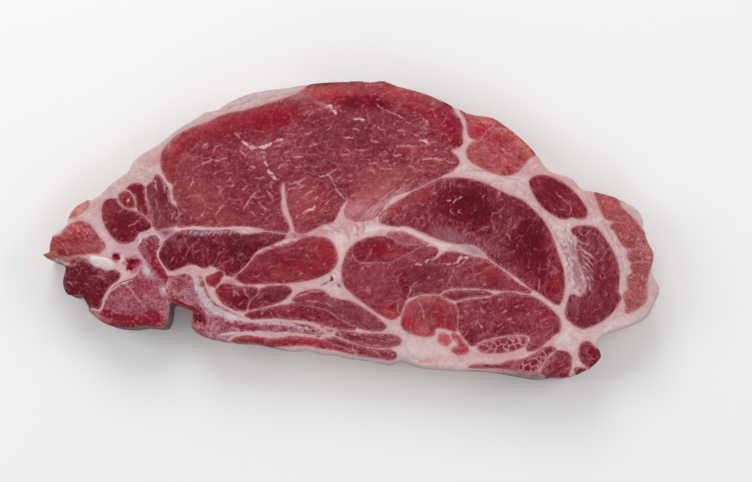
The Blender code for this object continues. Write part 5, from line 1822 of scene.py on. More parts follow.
@dataclass
class NearSide:
    """The muscles between the eye muscle and the rib, with the strips under the rib."""

    def cuts(self) -> list[Cut]:
        """List the pieces of this side of the chop.

        Returns:
            The pieces, ready to be built.
        """
        return [
            LeanCut(
                "band_muscle", "lean_dark", (90, 15, 28), (113, 38, 50), (138, 66, 77),
                [
                    *streaks(
                        Tint.MARBLE, 0.3, 0.5, (-54, -10, -53.5, -7.5, -52, -5, -50, -4),
                        (-51.5, -9, -50, -7, -48, -6), (-44.5, -10.5, -43.5, -8, -42, -7),
                        (-43.5, -12.5, -41.5, -11, -40, -10.2), (-57.5, -8, -56, -5.6),
                        (-30.5, -3.5, -28, -3)),
                    *streaks(
                        Tint.SILVER, 0.35, 0.6,
                        *(
                            (x, -0.9 - 0.4 * (x % 3), x + 0.9, -0.2 - 0.1 * (x % 2))
                            for x in (
                                -57.2, -55.9, -54.8, -53.2, -51.8, -50.9, -49.6, -48.8, -47.4, -46.5,
                                -45.1, -43.8, -42.9, -41.2, -39.6, -38.1, -36.4, -34.8)))],
                patches(
                    (Tint.LILAC, 0.45, -47, -0.8, 9, 0.9, 0), (Tint.DARKEST, 0.6, -36.5, -4, 2.2, 3.4),
                    (Tint.DARK, 0.6, -54.2, -8.6, 3.4, 2.6), (Tint.DARK, 0.45, -40, -3.6, 3, 2),
                    (Tint.ROSE, 0.35, -28, -3.2, 4, 1.4), (Tint.MEMBRANE, 0.5, -49, -1.2, 6, 0.8),
                    (Tint.MEMBRANE, 0.45, -59, -3, 2, 1.6), (Tint.BRIGHT, 0.3, -41.5, -12, 2, 2),
                    (Tint.PLUM, 0.3, -33, -5, 2.6, 3), (Tint.DARK, 0.45, -50.6, -7.6, 3, 2.6),
                    (Tint.DARK, 0.55, -60, -7, 2.4, 3.2)),
                grain=62.0, veins=0.35, flecks=0.05, seed=71),
            LeanCut(
                "bead_muscle", "lean_bright", (116, 26, 40), (135, 44, 56), (152, 70, 78), [],
                [Patch(Tint.BRIGHT, 0.5, -45, -16.4, 1.6, 1.4)], grain=40.0, veins=0.1, seed=73),
            LeanCut(
                "oval_muscle", "lean_bright", (120, 30, 41), (134, 48, 58), (156, 70, 78),
                streaks(
                    Tint.MARBLE, 0.32, 0.45, (-24.5, -7.4, -21, -7.2), (-27, -12.4, -23, -11.6),
                    (-17.5, -6, -14.5, -5.8), (-21.5, -9.6, -18, -9.9)),
                patches(
                    (Tint.RED, 0.5, -9.6, -8.6, 3.6, 4.4), (Tint.BRIGHT, 0.2, -7.4, -8, 2, 3.6),
                    (Tint.CORAL, 0.6, -5.2, -8, 0.9, 3.6), (Tint.CORAL, 0.35, -10, -3.1, 5, 0.9),
                    (Tint.DEEP, 0.45, -20, -9.6, 5, 2.2, 8), (Tint.DEEP, 0.35, -33, -14.6, 3, 1.6, 35),
                    (Tint.ROSE, 0.3, -21, -15.6, 8, 1.2, 2), (Tint.RED, 0.35, -15, -13, 5, 2)),
                grain=10.0, veins=0.3, flecks=0.045, seed=75),
            LeanCut(
                "core_front", "lean_dark", (102, 25, 35), (121, 42, 51), (148, 72, 82),
                streaks(
                    Tint.MARBLE, 0.4, 0.7, (-39, -17.8, -38, -21, -39, -24.3),
                    (-37.6, -20.2, -36.6, -21.4), (-35, -19.2, -34.4, -21, -33, -22),
                    (-36.4, -24.6, -35.4, -23.4)),
                patches((Tint.RED, 0.5, -41.4, -20.5, 2, 2.6), (Tint.DARK, 0.55, -36, -22.6, 2.6, 2.6)),
                grain=-20.0, veins=0.3, seed=77, seam_line=0.8),
            LeanCut(
                "core_back", "lean_dark", (106, 31, 42), (119, 44, 54), (138, 66, 76), [],
                [Patch(Tint.PLUM, 0.35, -27, -21.8, 5, 2)], grain=15.0, veins=0.25, flecks=0.03, seed=79,
                seam_line=0.8),
            LeanCut(
                "tongue_muscle", "lean_dark", (120, 44, 56), (137, 62, 72), (153, 82, 90),
                streaks(
                    Tint.MARBLE, 0.5, 0.75, (-18.8, -22.3, -16, -21, -13, -20.4, -10.4, -20.3),
                    (-17, -23.6, -12, -23.4, -8.4, -23.8, -6, -25.2)),
                patches((Tint.RED, 0.3, -13, -22, 4, 1.2), (Tint.PLUM, 0.35, -1, -27, 6, 2, -30)),
                grain=-28.0, veins=0.25, flecks=0.03, seed=81),
            LeanCut(
                "long_muscle", "lean_dark", (104, 22, 35), (123, 41, 52), (146, 68, 77),
                [
                    spot(Tint.MARBLE, 0.7, -29, -27.4, 0.6, 0.9),
                    spot(Tint.MARBLE, 0.6, -26, -27.2, 0.5, 0.8),
                    spot(Tint.MARBLE, 0.5, -24, -27.8, 0.5, 0.8)],
                patches(
                    (Tint.RED, 0.45, -22, -27.2, 4, 1.2), (Tint.DARK, 0.4, -31, -27.8, 2, 1),
                    (Tint.PALE_LEAN, 0.4, -6, -30.4, 4, 0.9, -12)),
                grain=-5.0, veins=0.3, flecks=0.06, seed=83),
            LeanCut(
                "flank_strip", "lean_bright", (118, 30, 42), (143, 56, 65), (172, 92, 98), [],
                patches(
                    (Tint.BRIGHT, 0.5, -14, -36.6, 8, 0.8, -4), (Tint.RED, 0.45, -31, -36.6, 4, 1),
                    (Tint.RED, 0.3, -22, -36.8, 4, 0.8), (Tint.PALE_LEAN, 0.5, -37.5, -37.2, 2, 0.8)),
                grain=-4.0, veins=0.3, flecks=0.07, seed=85),
            LeanCut(
                "rib_strip_upper", "lean_dark", (122, 50, 59), (142, 72, 80), (163, 95, 102),
                [
                    spot(Tint.DEEP, 0.5, x, y, 0.5, 0.8)
                    for x, y in (
                        (-1.4, -34.4), (0.6, -35), (2.4, -34.8), (4.4, -35.6), (6.4, -35.2), (8.6, -36),
                        (10.6, -35.8))],
                patches((Tint.DEEP, 0.35, 2, -35, 7, 1.4, -8), (Tint.ROSE, 0.4, 14, -36.4, 2, 1.4)),
                grain=-10.0, veins=0.75, flecks=0.16, seed=87),
            LeanCut(
                "rib_strip_lower", "lean_dark", (116, 44, 52), (137, 66, 73), (157, 90, 96), [],
                [Patch(Tint.DEEP, 0.35, 0, -37.6, 8, 1.4, -14)], grain=-10.0, veins=0.7, flecks=0.14,
                seed=89)]


@dataclass
class FarSide:
    """The round muscle, the shoulder block and the heart-shaped muscles under it."""

    def cuts(self) -> list[Cut]:
        """List the pieces of this side of the chop.

        Returns:
            The pieces, ready to be built.
        """
        round_muscle = LeanCut(
            "round_muscle", "lean_dark", (98, 26, 38), (133, 56, 64), (158, 84, 90),
            [
                *streaks(
                    Tint.MARBLE_WHITE, 0.45, 0.7, (33.2, 9, 34.5, 10, 36, 10.7), (31.5, 9.6, 32.6, 9.9),
                    (32.3, 6, 33, 5.3), (34.5, 5.8, 36, 5.3)),
                *streaks(
                    Tint.MARBLE, 0.4, 0.62, (13.5, 3, 14.5, 4.5, 15, 5),
                    (19.5, 2.5, 20.5, 4, 22, 4, 24, 3.8), (22, 8.8, 23.3, 8.3),
                    (46, 5.2, 45.8, 3, 46.2, 1, 47, 0, 48, -0.7), (46, 5, 48, 5.7, 50, 7.5, 50.3, 8.5),
                    (52.8, 0.3, 53.5, 2), (50.5, -0.8, 51.5, -2, 52, -3.5),
                    (41, -0.2, 43, 0.3, 44.5, 1.2), (61, -15.5, 60.8, -18, 60.5, -21), (64, -9, 65, -11),
                    (48.5, 9.6, 49.6, 10), (47.6, 12, 48.4, 12.4), (17, 4.6, 18.2, 6),
                    (26.5, 11.5, 28, 12))],
            patches(
                (Tint.DARKEST, 0.85, 39.5, 8.5, 5.6, 5.8, 0), (Tint.DARK, 0.65, 33, 9.5, 8, 5.2, 10),
                (Tint.DARKEST, 0.75, 58.2, -4.5, 4.6, 8.6, 8), (Tint.DARK, 0.5, 56.5, -1, 7.5, 10, 10),
                (Tint.RED, 0.6, 65.8, -16.5, 2.8, 7.5, 6), (Tint.DEEP, 0.5, 62, -15.5, 3, 5),
                (Tint.CORAL, 0.3, 15, 7, 4, 2.4, 30), (Tint.ROSE, 0.45, 22, 10.5, 6, 2.4, 28),
                (Tint.HAZE, 0.65, 31, -1.6, 9, 2.6, -14), (Tint.MEMBRANE, 0.5, 33, -3, 4.5, 1.6, -10),
                (Tint.HAZE, 0.4, 46.5, -6, 5, 3.4, -35), (Tint.ROSE, 0.4, 20.5, 5, 6.5, 3.6, 20),
                (Tint.PLUM, 0.3, 50, 7, 6, 3.4, -20), (Tint.BROWN, 0.25, 50, 1, 5, 6),
                (Tint.RED, 0.3, 24, 12, 6, 2, 25), (Tint.DARK, 0.35, 32.8, 14, 5, 2),
                (Tint.DARKEST, 0.55, 42.6, 4.4, 4.6, 3.6), (Tint.DARK, 0.55, 62.6, -12.6, 2.8, 4.4),
                (Tint.FAT_PINK, 0.5, 9.4, 3.8, 4, 1, 42)),
            grain=70.0, veins=0.36, flecks=0.055, seed=91)
        block = LeanCut(
            "shoulder_block", "lean_dark", (119, 37, 48), (136, 57, 66), (156, 78, 86),
            [
                *streaks(
                    Tint.MARBLE, 0.42, 0.66, (2.3, -15, 3, -13, 4.2, -12, 6.5, -11.6),
                    (11.5, -12.5, 12.5, -11.5, 14, -10.8), (19, -9.2, 20.5, -10, 22, -10.7),
                    (19, -20, 19.5, -18.5, 20.3, -17.5, 22, -16.7),
                    (33.5, -12.5, 33, -14.5, 31.5, -17, 31, -18.5), (18.3, -22, 19.4, -19.4, 19, -18),
                    (10.2, -14, 10, -16), (15.8, -28, 14.8, -25.4, 14.9, -23.4),
                    (1.2, -6.5, 2.4, -9.4, 4.4, -10.8, 7, -11.2), (15.4, -6.6, 15.2, -8.6, 14.7, -9.8),
                    (38.5, -8.9, 36, -11.4, 33.5, -12.5)),
                *streaks(
                    Tint.MARBLE_WHITE, 0.8, 0.75, (33, -11, 34.5, -10.3, 35.3, -9.5, 36, -9.2, 38, -9.3),
                    (30.4, -11.3, 31.8, -11.2), (21.4, -11.2, 22.4, -11.5), (25.2, -9.4, 23.6, -10.4))],
            patches(
                (Tint.DEEP, 0.6, 17.2, -16.5, 1.8, 5.2, 4), (Tint.DARK, 0.35, 17, -18.6, 1.4, 2),
                (Tint.BRIGHT, 0.55, 12.2, -27.2, 2.8, 1.6, -35), (Tint.CORAL, 0.5, 12.8, -28, 1.8, 1),
                (Tint.RED, 0.35, 6, -22.6, 4, 1.4, -38), (Tint.RED, 0.5, 46, -14.6, 3.2, 2.6, -35),
                (Tint.DEEP, 0.4, 30, -9.6, 4, 1.6, -10), (Tint.ROSE, 0.45, 52, -18.2, 5, 1.3, -22),
                (Tint.PLUM, 0.35, 25, -15, 5, 3), (Tint.ROSE, 0.3, 9, -17, 5, 5),
                (Tint.ROSE, 0.3, 38, -17, 6, 2), (Tint.PALE_LEAN, 0.45, 25.8, -7, 2.4, 1.2)),
            grain=18.0, veins=0.34, flecks=0.05, seed=93)
        oval = LeanCut(
            "dark_oval", "lean_dark", (114, 28, 38), (135, 52, 61), (158, 78, 86),
            streaks(
                Tint.MARBLE, 0.4, 0.55, (6.5, -6, 6, -8, 5, -9), (14, -3.6, 16, -5, 18.6, -5.6),
                (11.5, -4.6, 12.6, -6.4)),
            patches(
                (Tint.DARK, 0.65, 8.4, -5.6, 4.2, 1.9, 5), (Tint.RED, 0.5, 9.5, -6.5, 6, 2.6),
                (Tint.ROSE, 0.4, 16, -7, 3, 1.6, -20), (Tint.ROSE, 0.6, 14, -8.8, 4, 1)),
            grain=20.0, veins=0.25, flecks=0.04, seed=95)
        wedge = LeanCut(
            "small_wedge", "lean", (154, 76, 84), (169, 93, 100), (194, 122, 127), [], [], grain=-20.0,
            veins=0.3, seed=97)
        thin = LeanCut(
            "thin_wedge", "lean_dark", (122, 45, 55), (131, 55, 65), (140, 64, 74), [], [], grain=0.0,
            veins=0.25, seed=99, seam_line=0.9)
        left = LeanCut(
            "heart_left", "lean", (132, 48, 58), (152, 66, 74), (176, 86, 92),
            streaks(Tint.MARBLE, 0.45, 0.75, (21.3, -22.9, 22.8, -24.8, 23.4, -27, 23.3, -29.5)),
            patches(
                (Tint.BRIGHT, 0.7, 18.6, -30.4, 3, 1.8, -25), (Tint.CORAL, 0.7, 23.4, -33.6, 4, 1.0),
                (Tint.RED, 0.5, 28.6, -27.4, 1.6, 3.6), (Tint.BRIGHT, 0.3, 30.6, -31.6, 2.4, 1.4),
                (Tint.CORAL, 0.35, 33, -32.6, 2, 1), (Tint.PLUM, 0.3, 26, -26.4, 1.6, 3),
                (Tint.ROSE, 0.5, 24, -22.6, 5, 2), (Tint.PALE_LEAN, 0.55, 22.8, -32.6, 2.6, 1)),
            grain=80.0, veins=0.25, flecks=0.04, seed=101)
        right = LeanCut(
            "heart_right", "lean_dark", (117, 37, 47), (135, 57, 66), (157, 78, 86),
            streaks(
                Tint.MARBLE, 0.5, 0.75, (40.5, -29.8, 41.4, -30.8, 42.4, -32), (41.6, -30.8, 40.4, -32.2),
                (49, -27, 50.4, -26.4), (52, -30, 53, -30.6), (55.6, -24.4, 56.6, -23.8),
                (53, -25.6, 54, -25), (50.6, -29.6, 51.8, -28.8), (47.6, -31.4, 48.8, -30.8),
                (56.5, -28, 57.8, -27.4), (41.5, -24, 42.6, -26.4, 43, -28)),
            patches(
                (Tint.DEEP, 0.6, 53.6, -26, 4.4, 2.8, 20), (Tint.DEEP, 0.5, 38.8, -34.6, 2.2, 2.4),
                (Tint.DARK, 0.4, 44, -24.6, 3.4, 1.4, 5), (Tint.DEEP, 0.35, 49.5, -31.6, 3, 1.6),
                (Tint.RED, 0.35, 62.5, -29, 4, 3.4), (Tint.ROSE, 0.45, 61, -36, 2.6, 2, 30),
                (Tint.ROSE, 0.35, 37.5, -26, 2.4, 2.4)),
            grain=35.0, veins=0.42, flecks=0.13, seed=103)
        bead = LeanCut(
            "bead_lower", "lean_bright", (182, 84, 92), (198, 104, 109), (210, 134, 134), [],
            [Patch(Tint.BRIGHT, 0.35, 30, -35.4, 1, 1)], grain=0.0, veins=0.1, flecks=0.02, seed=105)
        hook = LeanCut(
            "hook_muscle", "lean_bright", (144, 50, 56), (168, 76, 81), (194, 110, 112),
            [streak(Tint.MARBLE, 0.6, 0.75, 33.2, -35.4, 34.4, -36.8, 33.8, -38.2)],
            [Patch(Tint.BRIGHT, 0.5, 35.6, -38.8, 1.6, 1)], grain=-45.0, veins=0.3, seed=107)
        return [round_muscle, block, oval, wedge, thin, left, right, bead, hook]


@dataclass
class HemSide:
    """The netted knot and the thin strips along the near edge at the right."""

    def cuts(self) -> list[Cut]:
        """List the pieces of this edge of the chop.

        Returns:
            The pieces, ready to be built.
        """
        knot = LeanCut(
            "knot_muscle", "lean_marbled", (142, 70, 78), (166, 98, 103), (196, 132, 136), [], [],
            nets=(
                CellNet(
                    (
                        (45.9, -37.6), (48.4, -38.8), (51.6, -36.8), (49.0, -36.1), (42.8, -38.2),
                        (45.6, -39.3), (55.8, -35.8), (54.6, -37.8), (52.4, -38.8), (47.1, -36.2),
                        (50.2, -38.4), (53.8, -36.2), (43.8, -36.9), (57.4, -36.6)),
                    0.4, 1.5, Tint.DEEP, Tint.MARBLE),),
            grain=10.0, veins=0.3, flecks=0.02, seed=111)
        hem = LeanCut(
            "hem_strip", "lean_dark", (130, 54, 64), (150, 80, 85), (182, 116, 119), [],
            patches((Tint.DEEP, 0.5, 45, -44.6, 8, 1.4), (Tint.ROSE, 0.5, 53, -43.6, 2.4, 1.4)),
            nets=(
                CellNet(
                    (
                        (54.8, -44.6), (56.9, -45.1), (56.2, -43.2), (58.4, -43.6), (59.2, -45.2),
                        (60.2, -41.9), (62.2, -43.2), (62.4, -40.6), (64.2, -39.4)),
                    0.4, 1.4, Tint.DEEP, Tint.MARBLE),),
            grain=15.0, veins=0.4, flecks=0.06, seed=113)
        corner = LeanCut(
            "corner_muscle", "lean_dark", (114, 33, 43), (134, 57, 65), (160, 90, 96), [],
            # The second patch is painted shade at the near edge.
            patches((Tint.DEEP, 0.45, 66, -44, 2.2, 2.6), (Tint.PAINTED_SHADE, 0.6, 62.8, -47.6, 1.6, 0.8)),
            grain=50.0, veins=0.35, flecks=0.06, seed=115)
        nub = LeanCut(
            "nub_muscle", "lean_dark", (108, 22, 34), (124, 42, 52), (142, 72, 80),
            streaks(Tint.MARBLE, 0.4, 0.5, (77, -41.5, 79, -42.5), (75.4, -38.4, 76.2, -40.4)),
            patches((Tint.DARK, 0.5, 78.8, -42, 1.8, 2.2), (Tint.BLOOD, 0.35, 79.4, -40, 1.2, 1.6)),
            grain=-30.0, veins=0.3, flecks=0.05, seed=117)
        fleck = LeanCut(
            "nub_fleck", "lean_dark", (92, 20, 30), (108, 36, 46), (144, 80, 88), [], [], seed=119)
        return [knot, hem, corner, nub, fleck]


@dataclass
class RoundEnd:
    """The egg-shaped, crescent and margin muscles at the round end."""

    def cuts(self) -> list[Cut]:
        """List the pieces of this end of the chop.

        Returns:
            The pieces, ready to be built.
        """
        egg = LeanCut(
            "egg_muscle", "lean_dark", (105, 29, 39), (126, 47, 57), (146, 70, 78),
            [
                *streaks(
                    Tint.MARBLE, 0.42, 0.6, (66.8, 12.6, 68, 11, 69.5, 10, 71, 8.5, 71.8, 6.8, 71.3, 4.6)),
                spot(Tint.MARBLE, 0.7, 66.3, 6.7, 0.5, 0.7), spot(Tint.MARBLE, 0.5, 63, 9.6, 0.4, 0.6)],
            patches(
                (Tint.DEEP, 0.65, 65.5, 13, 5, 4), (Tint.RED, 0.4, 74, 7.4, 2, 3),
                (Tint.RED, 0.3, 60.4, 15.4, 1.6, 1.6)),
            grain=-35.0, veins=0.28, flecks=0.045, seed=121)
        crescent = LeanCut(
            "crescent_muscle", "lean_dark", (107, 31, 42), (128, 54, 64), (150, 82, 90),
            [
                *streaks(
                    Tint.MARBLE_WHITE, 0.38, 0.6, (74.6, 1, 74.4, -0.8, 75.6, -1.8, 77, -1.4, 77.6, 0),
                    (74, -3, 75.6, -4.4, 77.4, -5), (74.2, -5.4, 76, -6.6, 77.8, -8.4),
                    (74.6, -7.6, 76.4, -9, 78.4, -11.6), (75, -9.8, 76.8, -11.4, 78.8, -14),
                    (75.4, -12, 77.2, -14, 78.6, -16.6), (76, -14.6, 77.4, -16.8),
                    (77.2, -17.4, 77.8, -19.6), (74.4, -6.4, 76.4, -7.4, 79, -9.8)),
                *streaks(
                    Tint.MARBLE, 0.35, 0.5, (81, -12.6, 82.4, -13.4), (82, -16, 83, -15.4),
                    (79.6, -25, 81, -24.4)),
                streak(Tint.BLOOD, 0.9, 0.95, 86.4, -22.9, 86.5, -23.1),
                streak(Tint.AMBER, 0.5, 0.85, 84.3, -9.2, 84.3, -9.5)],
            patches(
                (Tint.LILAC, 0.5, 75.4, -11, 1.5, 7.5, 12), (Tint.MEMBRANE, 0.5, 76.8, -16, 1.5, 4.5, 14),
                (Tint.LILAC, 0.35, 72.4, -24.6, 2, 3.4), (Tint.DEEP, 0.5, 78, -27, 3.6, 2.6, 15),
                (Tint.RED, 0.35, 85.4, -15, 1.4, 6), (Tint.DEEP, 0.3, 81.6, -18, 2.6, 4),
                (Tint.PLUM, 0.3, 76, -28.4, 4, 2)),
            grain=70.0, veins=0.36, flecks=0.06, seed=123)
        margin = LeanCut(
            "margin_muscle", "lean_orange", (136, 58, 67), (157, 80, 85), (180, 110, 111),
            streaks(
                Tint.MARBLE, 0.42, 0.65, (90.5, -10.3, 94, -10.6, 97.5, -10.8),
                (91.5, -6.5, 93, -5.5, 95, -6.8), (85.6, 3.4, 87.6, 2.4, 89.6, 2.8),
                (90.4, -15.4, 92.4, -14.8), (93.6, -2, 92.6, -4.4), (95.2, -14.2, 94.4, -16.4),
                (87.2, -1.6, 89, -2.2), (93.6, -8.4, 94.6, -7.2)),
            patches(
                (Tint.CORAL, 0.5, 85, 8.6, 4, 3.6), (Tint.ROSE, 0.4, 92, -17.4, 2.8, 5),
                (Tint.AMBER, 0.35, 97, -5.5, 1.6, 4.6), (Tint.AMBER, 0.35, 95.4, -21, 1.2, 3),
                (Tint.AMBER, 0.4, 91, -26, 2.4, 1), (Tint.MARBLE_WHITE, 0.6, 97, -9, 0.9, 0.6),
                (Tint.CORAL, 0.4, 90.6, 0.4, 3, 3), (Tint.RED, 0.25, 92, -13, 2, 1.4)),
            grain=-50.0, veins=0.36, flecks=0.08, seed=125)
        return [egg, crescent, margin]


@dataclass
class FatSide:
    """The web of fat with its threads, vessels and blood, and the loose cap of fat."""

    def cuts(self) -> list[Cut]:
        """List the pieces of fat.

        Returns:
            The pieces, ready to be built.
        """
        web = FatCut(
            "fat_web", "fat", (197, 160, 160), (211, 180, 179), (222, 202, 199),
            self.veil() + self.white() + self.pink() + self.threads() + self.blood(), self.clouds(),
            grain=20.0, seed=131, finish=FAT_FINISH, crowned=False, grit=0.014,
            # The shade patch is painted shade on the near wall at the right, which lies in shadow.
            shade_patches=(Patch(Tint.PAINTED_SHADE, 0.78, 58, -47.5, 7.5, 3, -3),), spread=1.09)
        cap = FatCut(
            "fat_cap", "fat", (196, 164, 160), (208, 182, 178), (218, 196, 192), [],
            [Patch(Tint.FAT_GREY, 0.4, 93, 5.5, 2, 3)], grain=-40.0, seed=133, finish=FAT_FINISH,
            crowned=False, grit=0.014)
        return [web, cap]

    def veil(self) -> list[Streak]:
        """Dull membranes, and a painted shade along the underside edge at the tip, that lie under all other
        marks.

        Returns:
            The marks, in the order in which they are painted.
        """
        return [
            smear(Tint.HAZE, 4.4, 0.5, 0.0, 1.0, 70.4, -1.4, 71.4, -7, 72.8, -12.4, 75, -19.6),
            # Painted shade: a dark brown line along the underside edge at the tip.
            firm(Tint.BROWN, 1.9, 0.75, -98, -7.4, -94.4, -8.8, -91.4, -10, -89, -10.8),
            firm(Tint.PLUM, 1.6, 0.75, -89, -9.6, -86.6, -10.4, -84.6, -12.6, -81, -13.4),
            firm(Tint.DEEP, 1.8, 0.6, -67.6, 7.4, -66.2, 5.4, -65.2, 3)]

    def white(self) -> list[Streak]:
        """White sinew in the fat.

        Returns:
            The marks, in the order in which they are painted.
        """
        return [
            *streaks(
                Tint.FAT_WHITE, 0.9, 0.75,
                (9, 0.8, 13, 0.6, 17, 0.2, 20, -1, 24, -2.8, 28, -4.4, 33, -5.4),
                (-10, 0.3, -8, 1, -6, 0, -5.3, -1.2), (5, -0.4, 9, 0.8)),
            *streaks(
                Tint.FAT_WHITE, 0.5, 0.6, (-26.6, -5.4, -22, -4.2, -17, -2.6), (-24.4, -4.6, -20, -3.4)),
            firm(Tint.FAT_WHITE, 0.8, 0.95, -57.6, 0.5, -50, 0.7, -44, 0.7, -36, 0.8, -30, 0.4, -24, -0.3),
            firm(Tint.MEMBRANE, 0.4, 0.6, -56, 0.1, -46, 0.1, -36, 0.2, -28, -0.2),
            firm(Tint.GREY_LINE, 0.3, 0.5, -30, -0.2, -22, -1.0, -14, -1.7),
            firm(
                Tint.FAT_WHITE, 0.9, 0.8, 8, 0.9, 13, 0.7, 17, 0.3, 20, -0.9, 24, -2.7, 28, -4.3, 33,
                -5.4),
            *streaks(
                Tint.FAT_WHITE, 0.5, 0.7, (-6, 3.4, -3, 1.2, -1, -1.4), (-1, 4.6, 0.6, 2, 1, -1),
                (2, 3.6, 3, 1, 2.4, -1.4), (4.6, 4.6, 5, 2, 4.4, -0.6), (-12, 1.4, -8, 1.4, -4, 0),
                (-5, -2.6, -4.6, -6, -5.4, -9.6), (-3.2, -2.4, -3, -5.4, -3.8, -8.6),
                (-6.6, -12, -5, -13.4, -3.4, -15.6), (69.6, -3, 71.2, -7.4, 72, -12),
                (70.6, -9, 71.6, -13, 72, -17), (72.6, 1, 73, -2, 73.4, -5.4),
                (71, 3.4, 70.4, 0, 71, -3.6))]

    def pink(self) -> list[Streak]:
        """Pink tissue where the fat is thin.

        Returns:
            The marks, in the order in which they are painted.
        """
        return [
            *streaks(
                Tint.CRIMSON, 1.2, 0.8, (-28.6, -4.9, -25, -3.8, -21.4, -2.2),
                (-26, -5.6, -22.6, -5.2, -18.6, -3.8)),
            *streaks(
                Tint.ROSE, 0.7, 0.34, (-9, 1.8, -6, 0.8, -3.4, -1), (-4.4, 2.6, -2, 0.2, -0.4, -2.6),
                (0, 3, 1.8, 0.6, 2, -2), (3.2, 4, 4.2, 1.6, 3.6, -1), (6, 3.8, 8.4, 2.2, 11, 1.8),
                (-14, -2.4, -11, -1.6, -8.4, -0.8), (-1, -31.6, -4, -31, -7, -30.6),
                (-2, -33.2, -6, -32.6, -10, -32.2), (-3, -36, -8, -35.2, -12, -34.6)),
            *streaks(
                Tint.FAT_PINK, 1.1, 0.75, (1, -1.5, 3, 0.5, 5.5, 2.5),
                (-14, -1.4, -10.4, -0.9, -6, -0.2, -3, 1.6), (57, 18.3, 59, 18.5),
                (77, 11, 78.5, 8, 80, 6.5), (78.2, 12.4, 79.4, 9.8, 80.6, 7.2),
                (-66.6, 21.4, -63.2, 23.4), (-65.4, 23.2, -62.6, 24.8), (61, 22.6, 58.6, 21.6),
                (62.6, 20.6, 59.6, 19.8), (22, -42.4, 26, -42.8), (66, -35.8, 63.4, -37.8)),
            *streaks(
                Tint.SALMON, 1.6, 0.7, (66, 18.4, 70, 17, 73.6, 14.4, 77, 11.8),
                (58, 25.2, 61.6, 22, 65, 19.2), (41, -41.4, 46, -41.2, 52, -40.8, 57, -40.2),
                (60, -38.6, 63, -37.2, 66, -35.4))]

    def threads(self) -> list[Streak]:
        """Grey threads of membrane, and the holes of small vessels.

        Returns:
            The marks, in the order in which they are painted.
        """
        return [
            *streaks(
                Tint.MEMBRANE, 0.34, 0.45, (36, 20, 39, 19.6, 42, 19.7, 46, 19.4),
                (41.5, 17.3, 43, 16.3, 44, 15.5, 46, 15.3), (47.5, 15.7, 48.5, 16.4, 49.5, 16.2),
                (62, 5, 64, 3, 66, 0, 68, -4, 70, -9, 72, -14, 73.4, -18), (60.6, 7.4, 62.6, 4.8),
                (69.6, 1.4, 70, -1, 70, -6, 71.4, -10), (85, -29, 87.5, -27.7, 88.5, -27),
                (82.4, 2.6, 85, -2.4, 87.4, -6.6), (86, -3, 88.2, -7.4, 88.6, -12),
                (-70, 20.4, -66.4, 19.6), (-53, 33.6, -48, 35.6, -42, 38.2),
                (-47, 38.6, -40, 40.6, -33, 43), (-30, 43.4, -22, 45, -14, 47), (-7.4, -8.4, -3.4, -9.2),
                (53.6, 15.6, 56, 13.2, 57, 11.4), (50, 17.4, 54, 16.6, 57.6, 14.4)),
            *streaks(
                Tint.GREY_LINE, 0.5, 0.75, (-9.9, -18.3, -8.4, -17.6, -7, -16.8),
                (-7, -16.4, -6.2, -15.6), (-4.6, -17.4, -3.6, -18.4)),
            *streaks(
                Tint.GREY_LINE, 0.36, 0.5, (72.4, -5, 73, -9, 74, -13, 75.6, -17.4),
                (71.6, -8, 72.4, -12, 73.6, -16.4), (73, -11, 73.8, -14.6, 75, -18),
                (71.8, -1.4, 72.2, -4.4, 72.8, -7.6)),
            *streaks(
                Tint.MEMBRANE, 0.32, 0.5, (70.8, -4, 71.4, -8, 72.6, -12.6),
                (72.8, 0, 73.4, -3, 73.6, -6.4), (74, -15.6, 75.2, -18.6),
                (70, -12, 70.8, -16, 71.6, -19.4)),
            spot(Tint.DEEP, 0.75, -6.5, -16, 1.1, 1.1), spot(Tint.FAT_WHITE, 0.9, -5.8, -15.4, 0.7, 0.7),
            spot(Tint.GREY_LINE, 0.7, -4, -18.2, 0.7, 0.7),
            *[
                smear(Tint.DEEP, size, 0.6, 0.0, 0.9, x - size, y + 0.1, x + size, y - 0.1)
                for x, y, size in (
                    (-9.4, -31.6, 0.6), (-7, -33, 0.7), (-4.4, -33.6, 0.6), (-10.6, -34.9, 0.6),
                    (-8, -31, 0.5), (-5.6, -31.6, 0.5), (-11.4, -33, 0.5), (-6, -35, 0.5))]]

    def blood(self) -> list[Streak]:
        """Vessels and pools of blood.

        Returns:
            The marks, in the order in which they are painted.
        """
        return [
            spot(Tint.CRIMSON, 0.45, -71, -11.2, 6.0, 5.0),
            spot(Tint.CRIMSON, 0.4, -76.8, -8.8, 3.4, 2.8),
            smear(Tint.BLOOD, 1.9, 0.95, 0.4, 0.35, -77.2, -8.7, -76.4, -8.9),
            smear(Tint.BLOOD, 2.7, 0.95, 0.4, 0.35, -71.8, -10.7, -70.6, -10.9),
            smear(Tint.BLOOD, 1.5, 0.9, 0.4, 0.35, -72.6, -12.4, -72.0, -12.4),
            smear(Tint.BLOOD_DEEP, 1.0, 0.85, 0.4, 0.3, -71.9, -10.4, -71.3, -10.5),
            smear(Tint.BLOOD_DEEP, 0.8, 0.85, 0.4, 0.3, -77, -8.6, -76.6, -8.7),
            smear(Tint.BLOOD_DEEP, 0.7, 0.7, 0.4, 0.3, -72.5, -12.5, -72.2, -12.5),
            smear(Tint.CRIMSON, 1.4, 0.75, 0.2, 0.4, -69.3, -10.6, -68.9, -10.6),
            smear(Tint.CRIMSON, 1.1, 0.65, 0.2, 0.4, -70.4, -13, -70.1, -12.9),
            smear(Tint.BLOOD_DEEP, 0.8, 0.95, 0.2, 0.4, -91.8, -10.9, -89.9, -10.4),
            smear(Tint.CRIMSON, 0.8, 0.6, 0.0, 0.8, -91.4, -9.4, -88.6, -8.9),
            smear(Tint.BLOOD_DEEP, 0.5, 0.7, 0.0, 0.4, -10.2, -34.8, -9.8, -34.8)]

